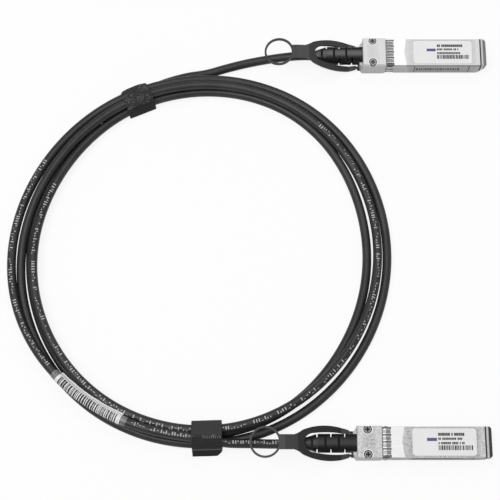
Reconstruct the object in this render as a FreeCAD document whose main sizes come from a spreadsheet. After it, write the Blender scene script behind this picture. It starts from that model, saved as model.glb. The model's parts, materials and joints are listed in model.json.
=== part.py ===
import FreeCAD, Part
import math
import os
import Sketcher
from types import SimpleNamespace

# SFP+ direct attach copper cable: two identical die-cast plugs with pull tabs on one coiled twinax cable.
# Millimetres. +X points out of the plugs' noses, +Z is up, z = 0 is the surface that everything lies on.
# The origin is below the middle of the two plugs. Each plug is drawn about its own axis, with x = 0 at the
# rear edge of its cover, and then placed.

DIMENSIONS = [
    # where the plugs lie
    ("plug_spread", "92", "axes of the plugs, from the origin"),
    ("plug_a_setback", "2.4", "cover's rear edge of plug A, behind the origin"),
    ("plug_b_setback", "9.6", "cover's rear edge of plug B, behind the origin"),
    # housing
    ("plug_length", "58.4", "cover's rear edge to the nose's end"),
    ("nose_width", "13.4", "width of the part that enters the cage"),
    ("nose_floor", "0.5", "underside of the nose"),
    ("nose_top", "9.0", "top of the nose"),
    ("split_height", "7.9", "joint between shell and cover"),
    ("block_length", "10.9", "rear block, up to the positive stop"),
    ("block_width", "13.8", "width of the rear block"),
    ("block_top", "9.7", "top of the rear block"),
    ("step_depth", "1.4", "how far the shell stands out behind the cover"),
    ("step_height", "6.0", "top of that step"),
    ("step_corner", "2.2", "width that the step's chamfered corners take"),
    ("toe_length", "2.2", "slope at the front of the block's underside"),
    ("wall", "1.2", "side walls of the nose"),
    ("floor_thickness", "1.1", "floor of the shell"),
    ("rear_wall", "2.0", "rear wall, measured from the cover's edge"),
    ("chin_length", "3.8", "slanted lower corner of the nose"),
    ("chin_height", "6.5", "top of that slant"),
    ("bridge_length", "2.7", "cast bridge over the card's edge"),
    ("lip_length", "1.7", "chamfer on the bridge"),
    ("lip_drop", "1.1", "depth of that chamfer"),
    ("seam_gap", "0.1", "gap between cover and bridge"),
    ("socket_length", "10.4", "open floor below the card's edge"),
    ("edge_break", "0.3", "chamfer on the block's upper edges"),
    ("nose_corner", "0.8", "cut corners of the nose's end"),
    ("panel_start", "24.6", "rear end of the sunk panel in the nose's sides"),
    ("panel_setback", "8.0", "panel's front end behind the nose's end"),
    ("panel_slant", "1.8", "slant of the panel's front end"),
    ("panel_low", "1.6", "lower edge of the panel"),
    ("panel_high", "7.2", "upper edge of the panel"),
    ("panel_depth", "0.12", "depth of the panel"),
    # latch boss and slide channel
    ("boss_gap", "2.5", "locking shoulder of the latch boss, from the block"),
    ("boss_length", "2.6", "length of the boss with its ramp"),
    ("boss_width", "2.6", "width of the boss"),
    ("boss_flat", "0.5", "flat of the boss before its ramp"),
    ("mouth_width", "10.4", "opening between the channel's lips"),
    ("lip_height", "0.3", "thickness of the channel's lips"),
    ("channel_width", "11.7", "width of the channel above the lips"),
    ("channel_height", "0.6", "height of the channel above the lips"),
    ("fork_slot_width", "6.3", "slot for the fork"),
    ("fork_slot_reach", "4.1", "front end of that slot, from the boss's shoulder"),
    ("spring_pocket_height", "1.7", "height of the spring pockets"),
    ("spring_pocket_width", "1.7", "width of the spring pockets"),
    ("spring_pocket_rear", "1.0", "rear end of the spring pockets"),
    ("spring_pocket_margin", "0.1", "front end of the spring pockets behind the fork's slot"),
    ("spring_y", "5.45", "offset of the springs from the axis"),
    # slide
    ("sheet_gauge", "0.4", "sheet metal of the slide"),
    ("slide_clearance", "0.1", "clearance round the slide"),
    ("slide_tail", "1.9", "how far the plate stands out behind the cover's edge"),
    ("slide_margin", "0.4", "front edge of the plate behind the fork's slot"),
    ("tine_reach", "2.2", "tips of the fork, from the boss's shoulder"),
    ("tine_gap", "3.0", "gap between the tines"),
    ("ramp_length", "1.2", "ramps on the fork's tips"),
    ("ramp_drop", "0.28", "how far the ramps stand down"),
    ("lug_setback", "0.6", "rear face of the spring lugs behind the plate's front edge"),
    ("lug_height", "1.5", "height of the spring lugs"),
    ("arm_y", "5.05", "offset of the arms from the axis"),
    ("arm_width", "1.0", "width of the arms"),
    ("arm_height", "2.6", "top of the arms"),
    ("arm_reach", "6.0", "rear end of the arms"),
    ("spring_diameter", "1.5", "return springs, outside"),
    ("spring_bore", "1.0", "return springs, inside"),
    # screws
    ("screw_x", "4.6", "screws, from the cover's rear edge"),
    ("screw_y", "5.4", "screws, from the axis"),
    ("head_diameter", "2.9", "screw heads"),
    ("head_height", "1.0", "height of the heads"),
    ("counterbore", "3.4", "diameter of the counterbores"),
    ("counterbore_depth", "1.1", "depth of the counterbores"),
    ("shank_diameter", "1.6", "screw shanks"),
    ("shank_clearance", "0.1", "clearance round the shank in the cover"),
    ("screw_reach", "4.0", "length of the screws below their heads"),
    ("cross_length", "1.7", "cross recess, across"),
    ("cross_width", "0.4", "cross recess, width of a slot"),
    ("cross_depth", "0.5", "cross recess, depth"),
    # collar
    ("collar_length", "9.6", "front edge of the collar at its corners, from the block"),
    ("collar_chevron", "1.0", "how far the front edge is notched at the middle"),
    ("collar_gauge", "0.2", "sheet of the collar"),
    ("finger_root", "3.9", "roots of the fingers, from the block"),
    ("finger_crest", "1.6", "crests of the fingers, from the block"),
    ("finger_tip", "0.3", "tips of the fingers, from the block"),
    ("finger_height", "0.45", "height of the crests above the nose"),
    ("finger_width", "2.25", "width of a finger"),
    ("finger_pitch", "3.0", "spacing of the fingers"),
    ("finger_low_y", "4.8", "offset of the lower fingers from the axis"),
    # label
    ("label_start", "3.2", "rear edge of the label recess, from the collar"),
    ("label_setback", "3.9", "front edge of the recess behind the cover's front edge"),
    ("label_width", "12.2", "width of the label recess"),
    ("label_corner", "0.9", "clipped corners of the recess"),
    ("label_recess", "0.15", "depth of the recess"),
    ("label_thickness", "0.1", "the sticker"),
    ("label_margin", "0.2", "gap round the sticker"),
    # card
    ("card_start", "13.5", "rear edge of the card"),
    ("card_setback", "3.2", "front edge of the card behind the nose's end"),
    ("card_bottom", "2.75", "underside of the card"),
    ("card_thickness", "1.0", "thickness of the card"),
    ("card_width", "10.6", "width of the card inside the shell"),
    ("card_edge_width", "9.2", "width of the card's edge"),
    ("card_edge_length", "8.2", "length of the narrow edge"),
    ("post_width", "1.6", "ledges under the card, across"),
    ("post_length", "2.0", "ledges under the card, along"),
    ("post_rear_x", "20", "rear ledges"),
    ("post_front_setback", "15.4", "front ledges behind the nose's end"),
    ("contact_count", "10", "contacts on each face"),
    ("contact_pitch", "0.8", "spacing of the contacts"),
    ("contact_width", "0.55", "width of a contact"),
    ("contact_length", "3.6", "length of a contact"),
    ("contact_setback", "0.5", "contacts behind the card's edge"),
    ("contact_thickness", "0.05", "thickness of a contact"),
    ("chip_x", "29", "memory chip, rear side"),
    ("chip_length", "4.9", "memory chip, along"),
    ("chip_width", "3.9", "memory chip, across"),
    ("chip_height", "1.2", "memory chip, height"),
    ("capacitor_x", "38", "capacitors, rear side"),
    ("capacitor_count", "4", "coupling capacitors"),
    ("capacitor_length", "1.0", "a capacitor, along"),
    ("capacitor_width", "0.6", "a capacitor, across"),
    ("capacitor_height", "0.6", "a capacitor, height"),
    ("capacitor_pitch", "1.8", "spacing of the capacitors"),
    # cable entry
    ("boot_axis", "4.7", "height of the cable's axis at the plug"),
    ("boot_width", "8.0", "boot, across"),
    ("boot_height", "7.0", "boot, height"),
    ("boot_round", "2.6", "corner radius of the boot"),
    ("boot_straight", "17.0", "boot behind the cover, up to its taper"),
    ("boot_length", "22.8", "boot behind the cover, whole"),
    ("boot_tip", "4.7", "width and height of the boot's tip"),
    ("boot_tip_round", "2.2", "corner radius of the tip"),
    ("groove_count", "3", "flex grooves on each side"),
    ("groove_width", "0.75", "flex grooves, along"),
    ("groove_depth", "1.8", "flex grooves, depth"),
    ("groove_pitch", "5.8", "spacing of the upper and lower grooves"),
    ("groove_start", "7.8", "first upper groove"),
    ("notch_pitch", "6.05", "spacing of the side notches"),
    ("notch_start", "5.0", "first side notch"),
    ("neck_width", "6.4", "boot's neck in the rear wall"),
    ("flange_width", "9.0", "boot's flange inside the shell"),
    ("flange_thickness", "1.4", "thickness of that flange"),
    ("fit", "0.05", "clearance of moulded pieces in the casting"),
    ("ferrule_length", "4.6", "crimp ferrule"),
    ("ferrule_diameter", "5.0", "hexagonal ferrule, across its corners"),
    ("lead_diameter", "1.3", "one twinax pair"),
    ("lead_spread", "2.6", "distance of the pairs from the axis on the card"),
    ("lead_landing", "4.0", "length of the pairs on the card"),
    # pull tab
    ("tab_thickness", "1.0", "moulded pull tab"),
    ("tab_leg_end", "2.9", "front ends of the legs, behind the cover"),
    ("tab_leg_height", "2.4", "height of the legs' middle plane at their ends"),
    ("tab_knee", "6.4", "where the legs start to rise"),
    ("tab_crest", "25.5", "where the tab levels out"),
    ("tab_crest_height", "9.5", "height there"),
    ("tab_neck_x", "31.0", "highest place of the tab"),
    ("tab_neck_height", "9.9", "height there"),
    ("tab_ring_height", "9.0", "height of the ring's far end"),
    ("leg_inner", "4.2", "inner edge of the legs at their ends"),
    ("leg_outer", "5.9", "outer edge of the legs at their ends"),
    ("oval_start", "27.2", "where the neck widens"),
    ("oval_shoulder", "23.6", "end of the flare beside the neck"),
    ("oval_shoulder_half", "5.2", "half width at that place"),
    ("oval_radius", "27.0", "outer curve of the legs"),
    ("flare_radius", "9.0", "curve from the neck to the oval"),
    ("opening_end", "22.8", "closed end of the opening"),
    ("opening_side", "18.6", "where the opening is at full width"),
    ("opening_radius", "45.0", "inner curve of the legs"),
    ("opening_end_radius", "4.4", "round end of the opening"),
    ("neck_half", "3.2", "half width of the neck"),
    ("ring_x", "39.65", "centre of the finger ring"),
    ("ring_outer", "13.7", "finger ring, outside"),
    ("ring_inner", "11.9", "finger ring, inside"),
    # cable, coil and ties
    ("cable_diameter", "4.1", "the cable's jacket"),
    ("coil_setback", "77", "centre of the coil, behind the origin"),
    ("coil_offset", "5.3", "centre of the coil, towards plug B"),
    ("tie_gauge", "1.4", "thickness of a strap"),
    ("tie_round", "2.1", "outer corners of the straps"),
    ("tie_width", "13.2", "width of a strap"),
    ("tie_upper_angle", "112.8", "where the upper strap is"),
    ("tie_lower_angle", "271.7", "where the lower strap is"),
    ("tie_inner", "76.0", "inner side of a strap, from the coil's centre"),
    ("tie_outer", "90.0", "outer side of a strap, from the coil's centre"),
    ("tie_top", "11.0", "top of a strap"),
    ("tie_flap", "2.8", "free end of a strap"),
]

doc = FreeCAD.newDocument("direct_attach_cable")
sheet = doc.addObject("Spreadsheet::Sheet", "Dimensions")
for row, (alias, number, meaning) in enumerate(DIMENSIONS, start=1):
    sheet.set("A%d" % row, meaning)
    sheet.set("B%d" % row, number)
    sheet.setAlias("B%d" % row, alias)
doc.recompute()


class Size:
    """A length, known as a number and as the formula that ties it to the spreadsheet."""

    def __init__(self, formula, number):
        self.formula = formula
        self.number = number

    def __add__(self, other):
        return joined(self, "+", other, self.number + plain(other))

    def __radd__(self, other):
        return joined(other, "+", self, plain(other) + self.number)

    def __sub__(self, other):
        return joined(self, "-", other, self.number - plain(other))

    def __rsub__(self, other):
        return joined(other, "-", self, plain(other) - self.number)

    def __mul__(self, other):
        return joined(self, "*", other, self.number * plain(other))

    def __rmul__(self, other):
        return joined(other, "*", self, plain(other) * self.number)

    def __truediv__(self, other):
        return joined(self, "/", other, self.number / plain(other))

    def __neg__(self):
        return 0 - self


def plain(amount):
    """The bare number of a size."""
    return amount.number if isinstance(amount, Size) else float(amount)


def formula(amount):
    """The spreadsheet formula of a size, or the number itself."""
    return amount.formula if isinstance(amount, Size) else "(%r)" % float(amount)


def joined(left, sign, right, number):
    return Size("(%s %s %s)" % (formula(left), sign, formula(right)), number)


d = SimpleNamespace(**{alias: Size("Dimensions." + alias, float(sheet.get(alias)))
                       for alias, number, meaning in DIMENSIONS})

# places that several pieces share
floor_top = d.nose_floor + d.floor_thickness
seam_x = d.plug_length - d.bridge_length
cavity_half = d.nose_width / 2 - d.wall
channel_top = d.lip_height + d.channel_height
card_top = d.card_bottom + d.card_thickness
slide_bottom = d.lip_height + d.slide_clearance
slide_top = slide_bottom + d.sheet_gauge
fork_start = d.block_length - d.toe_length
slide_front = fork_start - d.slide_margin
lug_rear = slide_front - d.lug_setback
boss_x = d.block_length + d.boss_gap
fork_slot_end = boss_x + d.fork_slot_reach
band_start = d.block_length + d.finger_root
collar_end = d.block_length + d.collar_length
label_start = collar_end + d.label_start
label_end = seam_x - d.label_setback
card_front = d.plug_length - d.card_setback
OVERCUT = 1.0          # how far a cut runs past the faces it opens
TOUCH = 1e-6           # closer than this is the same place
ROUND_STEPS = 3        # flats in each round corner of the boots and straps

nodes = {}             # node name -> finished object


def bind(thing, path, amount):
    """Tie a property to the spreadsheet."""
    thing.setExpression(path, formula(amount))


# ---------------------------------------------------------------- sketches

PLANES = {
    "XY_Plane": FreeCAD.Rotation(),
    "XZ_Plane": FreeCAD.Rotation(FreeCAD.Vector(1, 0, 0), 90),
    "YZ_Plane": FreeCAD.Rotation(0.5, 0.5, 0.5, 0.5),
}


def rectangle(x0, x1, y0, y1):
    return [(x0, y0), (x1, y0), (x1, y1), (x0, y1)]


def cut_rectangle(x0, x1, y, corner):
    """A rectangle about y = 0 with its four corners cut off."""
    return [(x0 + corner, -y), (x1 - corner, -y), (x1, corner - y), (x1, y - corner),
            (x1 - corner, y), (x0 + corner, y), (x0, y - corner), (x0, corner - y)]


def faceted_rectangle(middle_y, width, height, radius):
    """A rectangle about x = 0 whose round corners are made of a few flats."""
    x, y = width / 2 - radius, height / 2 - radius
    loop = []
    for corner, (side, rise) in enumerate(((1, -1), (1, 1), (-1, 1), (-1, -1))):
        for step in range(ROUND_STEPS + 1):
            turn = math.radians(90 * (corner - 1 + step / ROUND_STEPS))
            loop.append((side * x + radius * math.cos(turn), middle_y + rise * y + radius * math.sin(turn)))
    return loop


def octagon(x, y, diameter):
    """A regular octagon with its corners on a circle."""
    turns = [math.radians(45 * corner) for corner in range(8)]
    return [(x + diameter / 2 * math.cos(turn), y + diameter / 2 * math.sin(turn)) for turn in turns]


def spread(count):
    """Even places about zero, one apart."""
    return [number - (count - 1) / 2 for number in range(count)]


def arc_centre(start, end, radius):
    """Centre of the arc from start to end; a positive radius turns anticlockwise."""
    chord = end - start
    side = FreeCAD.Vector(-chord.y, chord.x, 0).normalize()
    rise = math.sqrt(radius * radius - chord.Length ** 2 / 4)
    return (start + end) * 0.5 + side * math.copysign(rise, radius)


def draw_loop(sketch, loop):
    """Add a closed outline whose corners are held to the origin by their sizes."""
    first = sketch.GeometryCount
    spots = [FreeCAD.Vector(plain(corner[0]), plain(corner[1]), 0) for corner in loop]
    ends = []
    for index, corner in enumerate(loop):
        start, end = spots[index], spots[(index + 1) % len(loop)]
        if len(corner) == 2:
            sketch.addGeometry(Part.LineSegment(start, end), False)
            ends.append((1, 2))
            continue
        centre = arc_centre(start, end, plain(corner[2]))
        a0 = math.atan2(start.y - centre.y, start.x - centre.x)
        a1 = math.atan2(end.y - centre.y, end.x - centre.x)
        turns_left = plain(corner[2]) > 0
        circle = Part.Circle(centre, FreeCAD.Vector(0, 0, 1), abs(plain(corner[2])))
        sketch.addGeometry(Part.ArcOfCircle(circle, *((a0, a1) if turns_left else (a1, a0))), False)
        ends.append((1, 2) if turns_left else (2, 1))
    for index, corner in enumerate(loop):
        edge = first + index
        follower = first + (index + 1) % len(loop)
        following = ends[(index + 1) % len(loop)]
        sketch.addConstraint(Sketcher.Constraint("Coincident", edge, ends[index][1], follower, following[0]))
        for kind, amount in (("DistanceX", corner[0]), ("DistanceY", corner[1])):
            hold(sketch, Sketcher.Constraint(kind, -1, 1, edge, ends[index][0], plain(amount)), amount)
        if len(corner) == 3:
            size = corner[2] if plain(corner[2]) > 0 else 0 - corner[2]
            hold(sketch, Sketcher.Constraint("Radius", edge, plain(size)), size)


def draw_circle(sketch, x, y, diameter):
    circle = Part.Circle(FreeCAD.Vector(plain(x), plain(y), 0), FreeCAD.Vector(0, 0, 1), plain(diameter) / 2)
    edge = sketch.addGeometry(circle, False)
    hold(sketch, Sketcher.Constraint("DistanceX", -1, 1, edge, 3, plain(x)), x)
    hold(sketch, Sketcher.Constraint("DistanceY", -1, 1, edge, 3, plain(y)), y)
    hold(sketch, Sketcher.Constraint("Diameter", edge, plain(diameter)), diameter)


def hold(sketch, constraint, amount):
    number = sketch.addConstraint(constraint)
    if isinstance(amount, Size):
        sketch.setExpression("Constraints[%d]" % number, amount.formula)


def sketch_on(owner, name, plane, height=0, loops=(), circles=()):
    """A sketch on an origin plane, moved along the plane's normal by height."""
    if owner is None:
        sketch = doc.addObject("Sketcher::SketchObject", name)
        turn = PLANES[plane]
        sketch.Placement = FreeCAD.Placement(turn.multVec(FreeCAD.Vector(0, 0, plain(height))), turn)
        axis = {"XY_Plane": ("z", height), "XZ_Plane": ("y", 0 - height), "YZ_Plane": ("x", height)}[plane]
        bind(sketch, ".Placement.Base." + axis[0], axis[1])
    else:
        sketch = owner.newObject("Sketcher::SketchObject", name)
        support = [item for item in owner.Origin.OriginFeatures if item.Role == plane][0]
        sketch.AttachmentSupport = [(support, "")]
        sketch.MapMode = "FlatFace"
        bind(sketch, ".AttachmentOffset.Base.z", height)
    for loop in loops:
        draw_loop(sketch, loop)
    for circle in circles:
        draw_circle(sketch, *circle)
    return sketch


# ---------------------------------------------------------------- PartDesign features

def new_body(name):
    body = doc.addObject("PartDesign::Body", name)
    body.Label = name
    return body


def pad(body, name, sketch, length, symmetric=False):
    feature = body.newObject("PartDesign::Pad", name)
    feature.Profile = sketch
    bind(feature, "Length", length)
    if symmetric:
        feature.SideType = "Symmetric"
    doc.recompute()
    return feature


def pocket(body, name, sketch, depth, symmetric=False, upward=False):
    """A cut from the sketch plane against its normal, or along it if upward."""
    before = body.Shape.Volume
    feature = body.newObject("PartDesign::Pocket", name)
    feature.Profile = sketch
    bind(feature, "Length", depth)
    if symmetric:
        feature.SideType = "Symmetric"
    feature.Reversed = upward
    doc.recompute()
    if not body.Shape.Volume < before:
        raise RuntimeError(name + " cuts nothing")
    return feature


def chamfer_edges(body, name, base, size, wanted):
    """Chamfer the edges of base that wanted picks by their two ends."""
    names = []
    for index, edge in enumerate(base.Shape.Edges, start=1):
        ends = [vertex.Point for vertex in edge.Vertexes]
        if len(ends) == 2 and wanted(*ends):
            names.append("Edge%d" % index)
    feature = body.newObject("PartDesign::Chamfer", name)
    feature.Base = (base, names)
    bind(feature, "Size", size)
    doc.recompute()
    return feature


# ---------------------------------------------------------------- Part features

def box(name, x0, x1, y0, y1, z0, z1):
    solid = doc.addObject("Part::Box", name)
    for path, low, high in (("Length", x0, x1), ("Width", y0, y1), ("Height", z0, z1)):
        bind(solid, path, high - low)
    for axis, low in zip("xyz", (x0, y0, z0)):
        bind(solid, ".Placement.Base." + axis, low)
    return solid


def cylinder(name, x, y, z, diameter, length):
    """An upright cylinder that starts at the given point."""
    solid = doc.addObject("Part::Cylinder", name)
    bind(solid, "Radius", diameter / 2)
    bind(solid, "Height", length)
    for axis, amount in zip("xyz", (x, y, z)):
        bind(solid, ".Placement.Base." + axis, amount)
    return solid


def prism(name, x, y, z, diameter, length, sides):
    """A rod along +X with a few flat sides inside the given diameter."""
    solid = doc.addObject("Part::Prism", name)
    solid.Polygon = sides
    solid.Placement = FreeCAD.Placement(FreeCAD.Vector(), FreeCAD.Rotation(FreeCAD.Vector(0, 1, 0), 90))
    bind(solid, "Circumradius", diameter / 2)
    bind(solid, "Height", length)
    for axis, amount in zip("xyz", (x, y, z)):
        bind(solid, ".Placement.Base." + axis, amount)
    return solid


def extrude(name, sketch, length, symmetric=False):
    solid = doc.addObject("Part::Extrusion", name)
    solid.Base = sketch
    solid.DirMode = "Normal"
    solid.Solid = True
    solid.Symmetric = symmetric
    bind(solid, "LengthFwd", length)
    return solid


def loft(name, sections):
    solid = doc.addObject("Part::Loft", name)
    solid.Sections = sections
    solid.Solid = True
    solid.Ruled = True
    return solid


def cut(name, base, tool):
    result = doc.addObject("Part::Cut", name)
    result.Base = base
    result.Tool = tool
    return result


def gather(kind, name, pieces):
    """A MultiFuse, MultiCommon or Compound of several pieces."""
    result = doc.addObject("Part::" + kind, name)
    setattr(result, "Links" if kind == "Compound" else "Shapes", pieces)
    return result


def finish(piece, node, x=0, y=0):
    """Name a finished piece after its node and put it in its place."""
    piece.Label = node
    bind(piece, ".Placement.Base.x", x)
    bind(piece, ".Placement.Base.y", y)
    nodes[node] = piece


# ---------------------------------------------------------------- housing

def bottom_shell(tag):
    """Die-cast lower housing: rear block, U-shaped nose, bridge over the card's edge, latch channel."""
    name = "bottom_shell" + tag
    body = new_body(name)
    half_block = d.block_width / 2
    half_nose = d.nose_width / 2
    nose_end = d.plug_length + OVERCUT
    nose = [(d.block_length / 2, d.nose_floor), (d.plug_length - d.chin_length, d.nose_floor),
            (d.plug_length, d.chin_height), (d.plug_length, d.nose_top - d.lip_drop),
            (d.plug_length - d.lip_length, d.nose_top), (seam_x, d.nose_top),
            (seam_x, d.split_height), (d.block_length / 2, d.split_height)]
    pad(body, name + "_nose", sketch_on(body, name + "_nose_side", "XZ_Plane", 0, [nose]),
        d.nose_width, symmetric=True)
    corner = half_block - d.step_corner
    step = [(-d.step_depth, -corner), (0, -half_block), (d.block_length, -half_block),
            (d.block_length, half_block), (0, half_block), (-d.step_depth, corner)]
    pad(body, name + "_step", sketch_on(body, name + "_step_plan", "XY_Plane", 0, [step]), d.step_height)
    block = rectangle(0, d.block_length, -half_block, half_block)
    pad(body, name + "_block", sketch_on(body, name + "_block_plan", "XY_Plane", 0, [block]), d.split_height)

    def dig(label, height, depth, loops=(), circles=(), upward=False):
        plan = sketch_on(body, name + "_" + label + "_plan", "XY_Plane", height, loops, circles)
        pocket(body, name + "_" + label, plan, depth, upward=upward)

    inside = d.split_height - floor_top
    flange_half = d.flange_width / 2 + d.fit
    neck_half = d.neck_width / 2 + d.fit
    dig("hollow", d.split_height, inside, [rectangle(d.block_length, nose_end, -cavity_half, cavity_half)])
    dig("bay", d.split_height, inside, [rectangle(d.rear_wall, d.block_length, -flange_half, flange_half)])
    dig("neck", d.split_height, inside,
        [rectangle(-d.step_depth - OVERCUT, d.rear_wall, -neck_half, neck_half)])
    dig("socket", floor_top, floor_top + OVERCUT,
        [rectangle(d.plug_length - d.socket_length, nose_end, -cavity_half, cavity_half)])
    pilot_depth = d.screw_reach - (d.block_top - d.counterbore_depth - d.split_height) + d.fit
    dig("pilots", d.split_height, pilot_depth,
        circles=[(d.screw_x, side * d.screw_y, d.shank_diameter) for side in (1, -1)])
    tail = -d.step_depth - OVERCUT
    dig("mouth", 0, d.lip_height,
        [rectangle(tail, fork_start, -d.mouth_width / 2, d.mouth_width / 2)], upward=True)
    dig("channel", d.lip_height, d.channel_height,
        [rectangle(tail, fork_start, -d.channel_width / 2, d.channel_width / 2)], upward=True)
    dig("fork", 0, channel_top,
        [rectangle(fork_start - OVERCUT, fork_slot_end, -d.fork_slot_width / 2, d.fork_slot_width / 2)],
        upward=True)
    pockets = [rectangle(d.spring_pocket_rear, fork_start - d.spring_pocket_margin,
                         side * d.spring_y - d.spring_pocket_width / 2,
                         side * d.spring_y + d.spring_pocket_width / 2) for side in (1, -1)]
    dig("springs", channel_top, d.spring_pocket_height, pockets, upward=True)
    toe = [(fork_start, 0), (d.block_length, d.nose_floor), (d.block_length + OVERCUT, d.nose_floor),
           (d.block_length + OVERCUT, -OVERCUT), (fork_start, -OVERCUT)]
    pocket(body, name + "_toe", sketch_on(body, name + "_toe_side", "XZ_Plane", 0, [toe]),
           d.block_width + OVERCUT, symmetric=True)
    seats = [rectangle(d.block_length, collar_end, side * (half_nose - d.collar_gauge / 2 + OVERCUT / 2)
                       - (OVERCUT + d.collar_gauge) / 2, side * (half_nose - d.collar_gauge / 2 + OVERCUT / 2)
                       + (OVERCUT + d.collar_gauge) / 2) for side in (1, -1)]
    dig("seat_sides", d.nose_top, d.nose_top, seats)
    dig("seat_floor", 0, d.nose_floor + d.collar_gauge,
        [rectangle(d.block_length, collar_end, -half_nose - OVERCUT, half_nose + OVERCUT)], upward=True)
    corner = half_nose - d.nose_corner - OVERCUT
    corners = [[(d.plug_length - d.nose_corner, side * half_nose), (nose_end, side * corner),
                (nose_end, side * half_nose)] for side in (1, -1)]
    dig("corners", d.nose_top, d.nose_top, corners)
    panel = [(d.panel_start, d.panel_low), (d.plug_length - d.panel_setback - d.panel_slant, d.panel_low),
             (d.plug_length - d.panel_setback, d.panel_high), (d.panel_start, d.panel_high)]
    for side, label in ((1, "left"), (-1, "right")):
        depth = d.panel_depth + OVERCUT
        middle = half_nose - d.panel_depth + depth / 2
        plan = sketch_on(body, name + "_panel_side_" + label, "XZ_Plane", -side * middle, [panel])
        pocket(body, name + "_panel_" + label, plan, depth, symmetric=True)
    boss = [(boss_x, 0), (boss_x + d.boss_flat, 0), (boss_x + d.boss_length, d.nose_floor),
            (boss_x + d.boss_length, channel_top), (boss_x, channel_top)]
    pad(body, name + "_boss", sketch_on(body, name + "_boss_side", "XZ_Plane", 0, [boss]),
        d.boss_width, symmetric=True)
    ledges = []
    for start in (d.post_rear_x, d.plug_length - d.post_front_setback):
        for side in (1, -1):
            middle = side * (cavity_half - d.post_width / 2)
            ledges.append(rectangle(start, start + d.post_length,
                                    middle - d.post_width / 2, middle + d.post_width / 2))
    pad(body, name + "_ledges", sketch_on(body, name + "_ledge_plan", "XY_Plane", floor_top, ledges),
        d.card_bottom - floor_top)
    return body


def top_cover(tag):
    """Die-cast cover: thick over the block, thin over the nose, with seats for screws, collar and label."""
    name = "top_cover" + tag
    body = new_body(name)
    half_block = d.block_width / 2
    half_nose = d.nose_width / 2
    block = rectangle(0, d.block_length, -half_block, half_block)
    plan = sketch_on(body, name + "_block_plan", "XY_Plane", d.split_height, [block])
    base = pad(body, name + "_block", plan,
               d.block_top - d.split_height)
    top = plain(d.block_top)
    chamfer_edges(body, name + "_edges", base, d.edge_break,
                  lambda one, two: abs(one.z - top) < TOUCH and abs(two.z - top) < TOUCH)
    nose = rectangle(d.block_length / 2, seam_x - d.seam_gap, -half_nose, half_nose)
    pad(body, name + "_nose", sketch_on(body, name + "_nose_plan", "XY_Plane", d.split_height, [nose]),
        d.nose_top - d.split_height)

    def dig(label, height, depth, loops=(), circles=()):
        plan = sketch_on(body, name + "_" + label + "_plan", "XY_Plane", height, loops, circles)
        pocket(body, name + "_" + label, plan, depth)

    beyond = half_nose + OVERCUT
    slope = d.collar_chevron * beyond / half_nose
    chevron = [(d.block_length, -beyond), (collar_end - d.collar_chevron + slope, -beyond),
               (collar_end - d.collar_chevron, 0), (collar_end - d.collar_chevron + slope, beyond),
               (d.block_length, beyond)]
    dig("seat", d.nose_top, d.collar_gauge, [chevron])
    seats = [rectangle(d.block_length, collar_end, side * (half_nose - d.collar_gauge / 2 + OVERCUT / 2)
                       - (OVERCUT + d.collar_gauge) / 2, side * (half_nose - d.collar_gauge / 2 + OVERCUT / 2)
                       + (OVERCUT + d.collar_gauge) / 2) for side in (1, -1)]
    dig("seat_sides", d.nose_top, d.nose_top - d.split_height, seats)
    y, c = d.label_width / 2, d.label_corner
    recess = cut_rectangle(label_start, label_end, y, c)
    dig("recess", d.nose_top, d.label_recess, [recess])
    dig("counterbores", d.block_top, d.counterbore_depth,
        circles=[(d.screw_x, side * d.screw_y, d.counterbore) for side in (1, -1)])
    dig("holes", d.block_top, d.block_top - d.split_height,
        circles=[(d.screw_x, side * d.screw_y, d.shank_diameter + 2 * d.shank_clearance) for side in (1, -1)])
    return body


def cover_screws(tag):
    """Two cross-recess pan heads."""
    screws = []
    head_bottom = d.block_top - d.counterbore_depth
    head_top = head_bottom + d.head_height
    for side, label in ((1, "left"), (-1, "right")):
        name = "cover_screw_" + label + tag
        y = side * d.screw_y
        head = cylinder(name + "_head", d.screw_x, y, head_bottom, d.head_diameter, d.head_height)
        shank = cylinder(name + "_shank", d.screw_x, y, head_bottom - d.screw_reach,
                         d.shank_diameter, d.screw_reach)
        long_half, short_half = d.cross_length / 2, d.cross_width / 2
        slots = [box(name + "_slot_x", d.screw_x - long_half, d.screw_x + long_half,
                     y - short_half, y + short_half,
                     head_top - d.cross_depth, head_top + OVERCUT),
                 box(name + "_slot_y", d.screw_x - short_half, d.screw_x + short_half,
                     y - long_half, y + long_half,
                     head_top - d.cross_depth, head_top + OVERCUT)]
        solid = gather("MultiFuse", name + "_solid", [head, shank])
        screws.append(cut(name, solid, gather("MultiFuse", name + "_recess", slots)))
    return gather("Compound", "cover_screws" + tag, screws)


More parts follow.
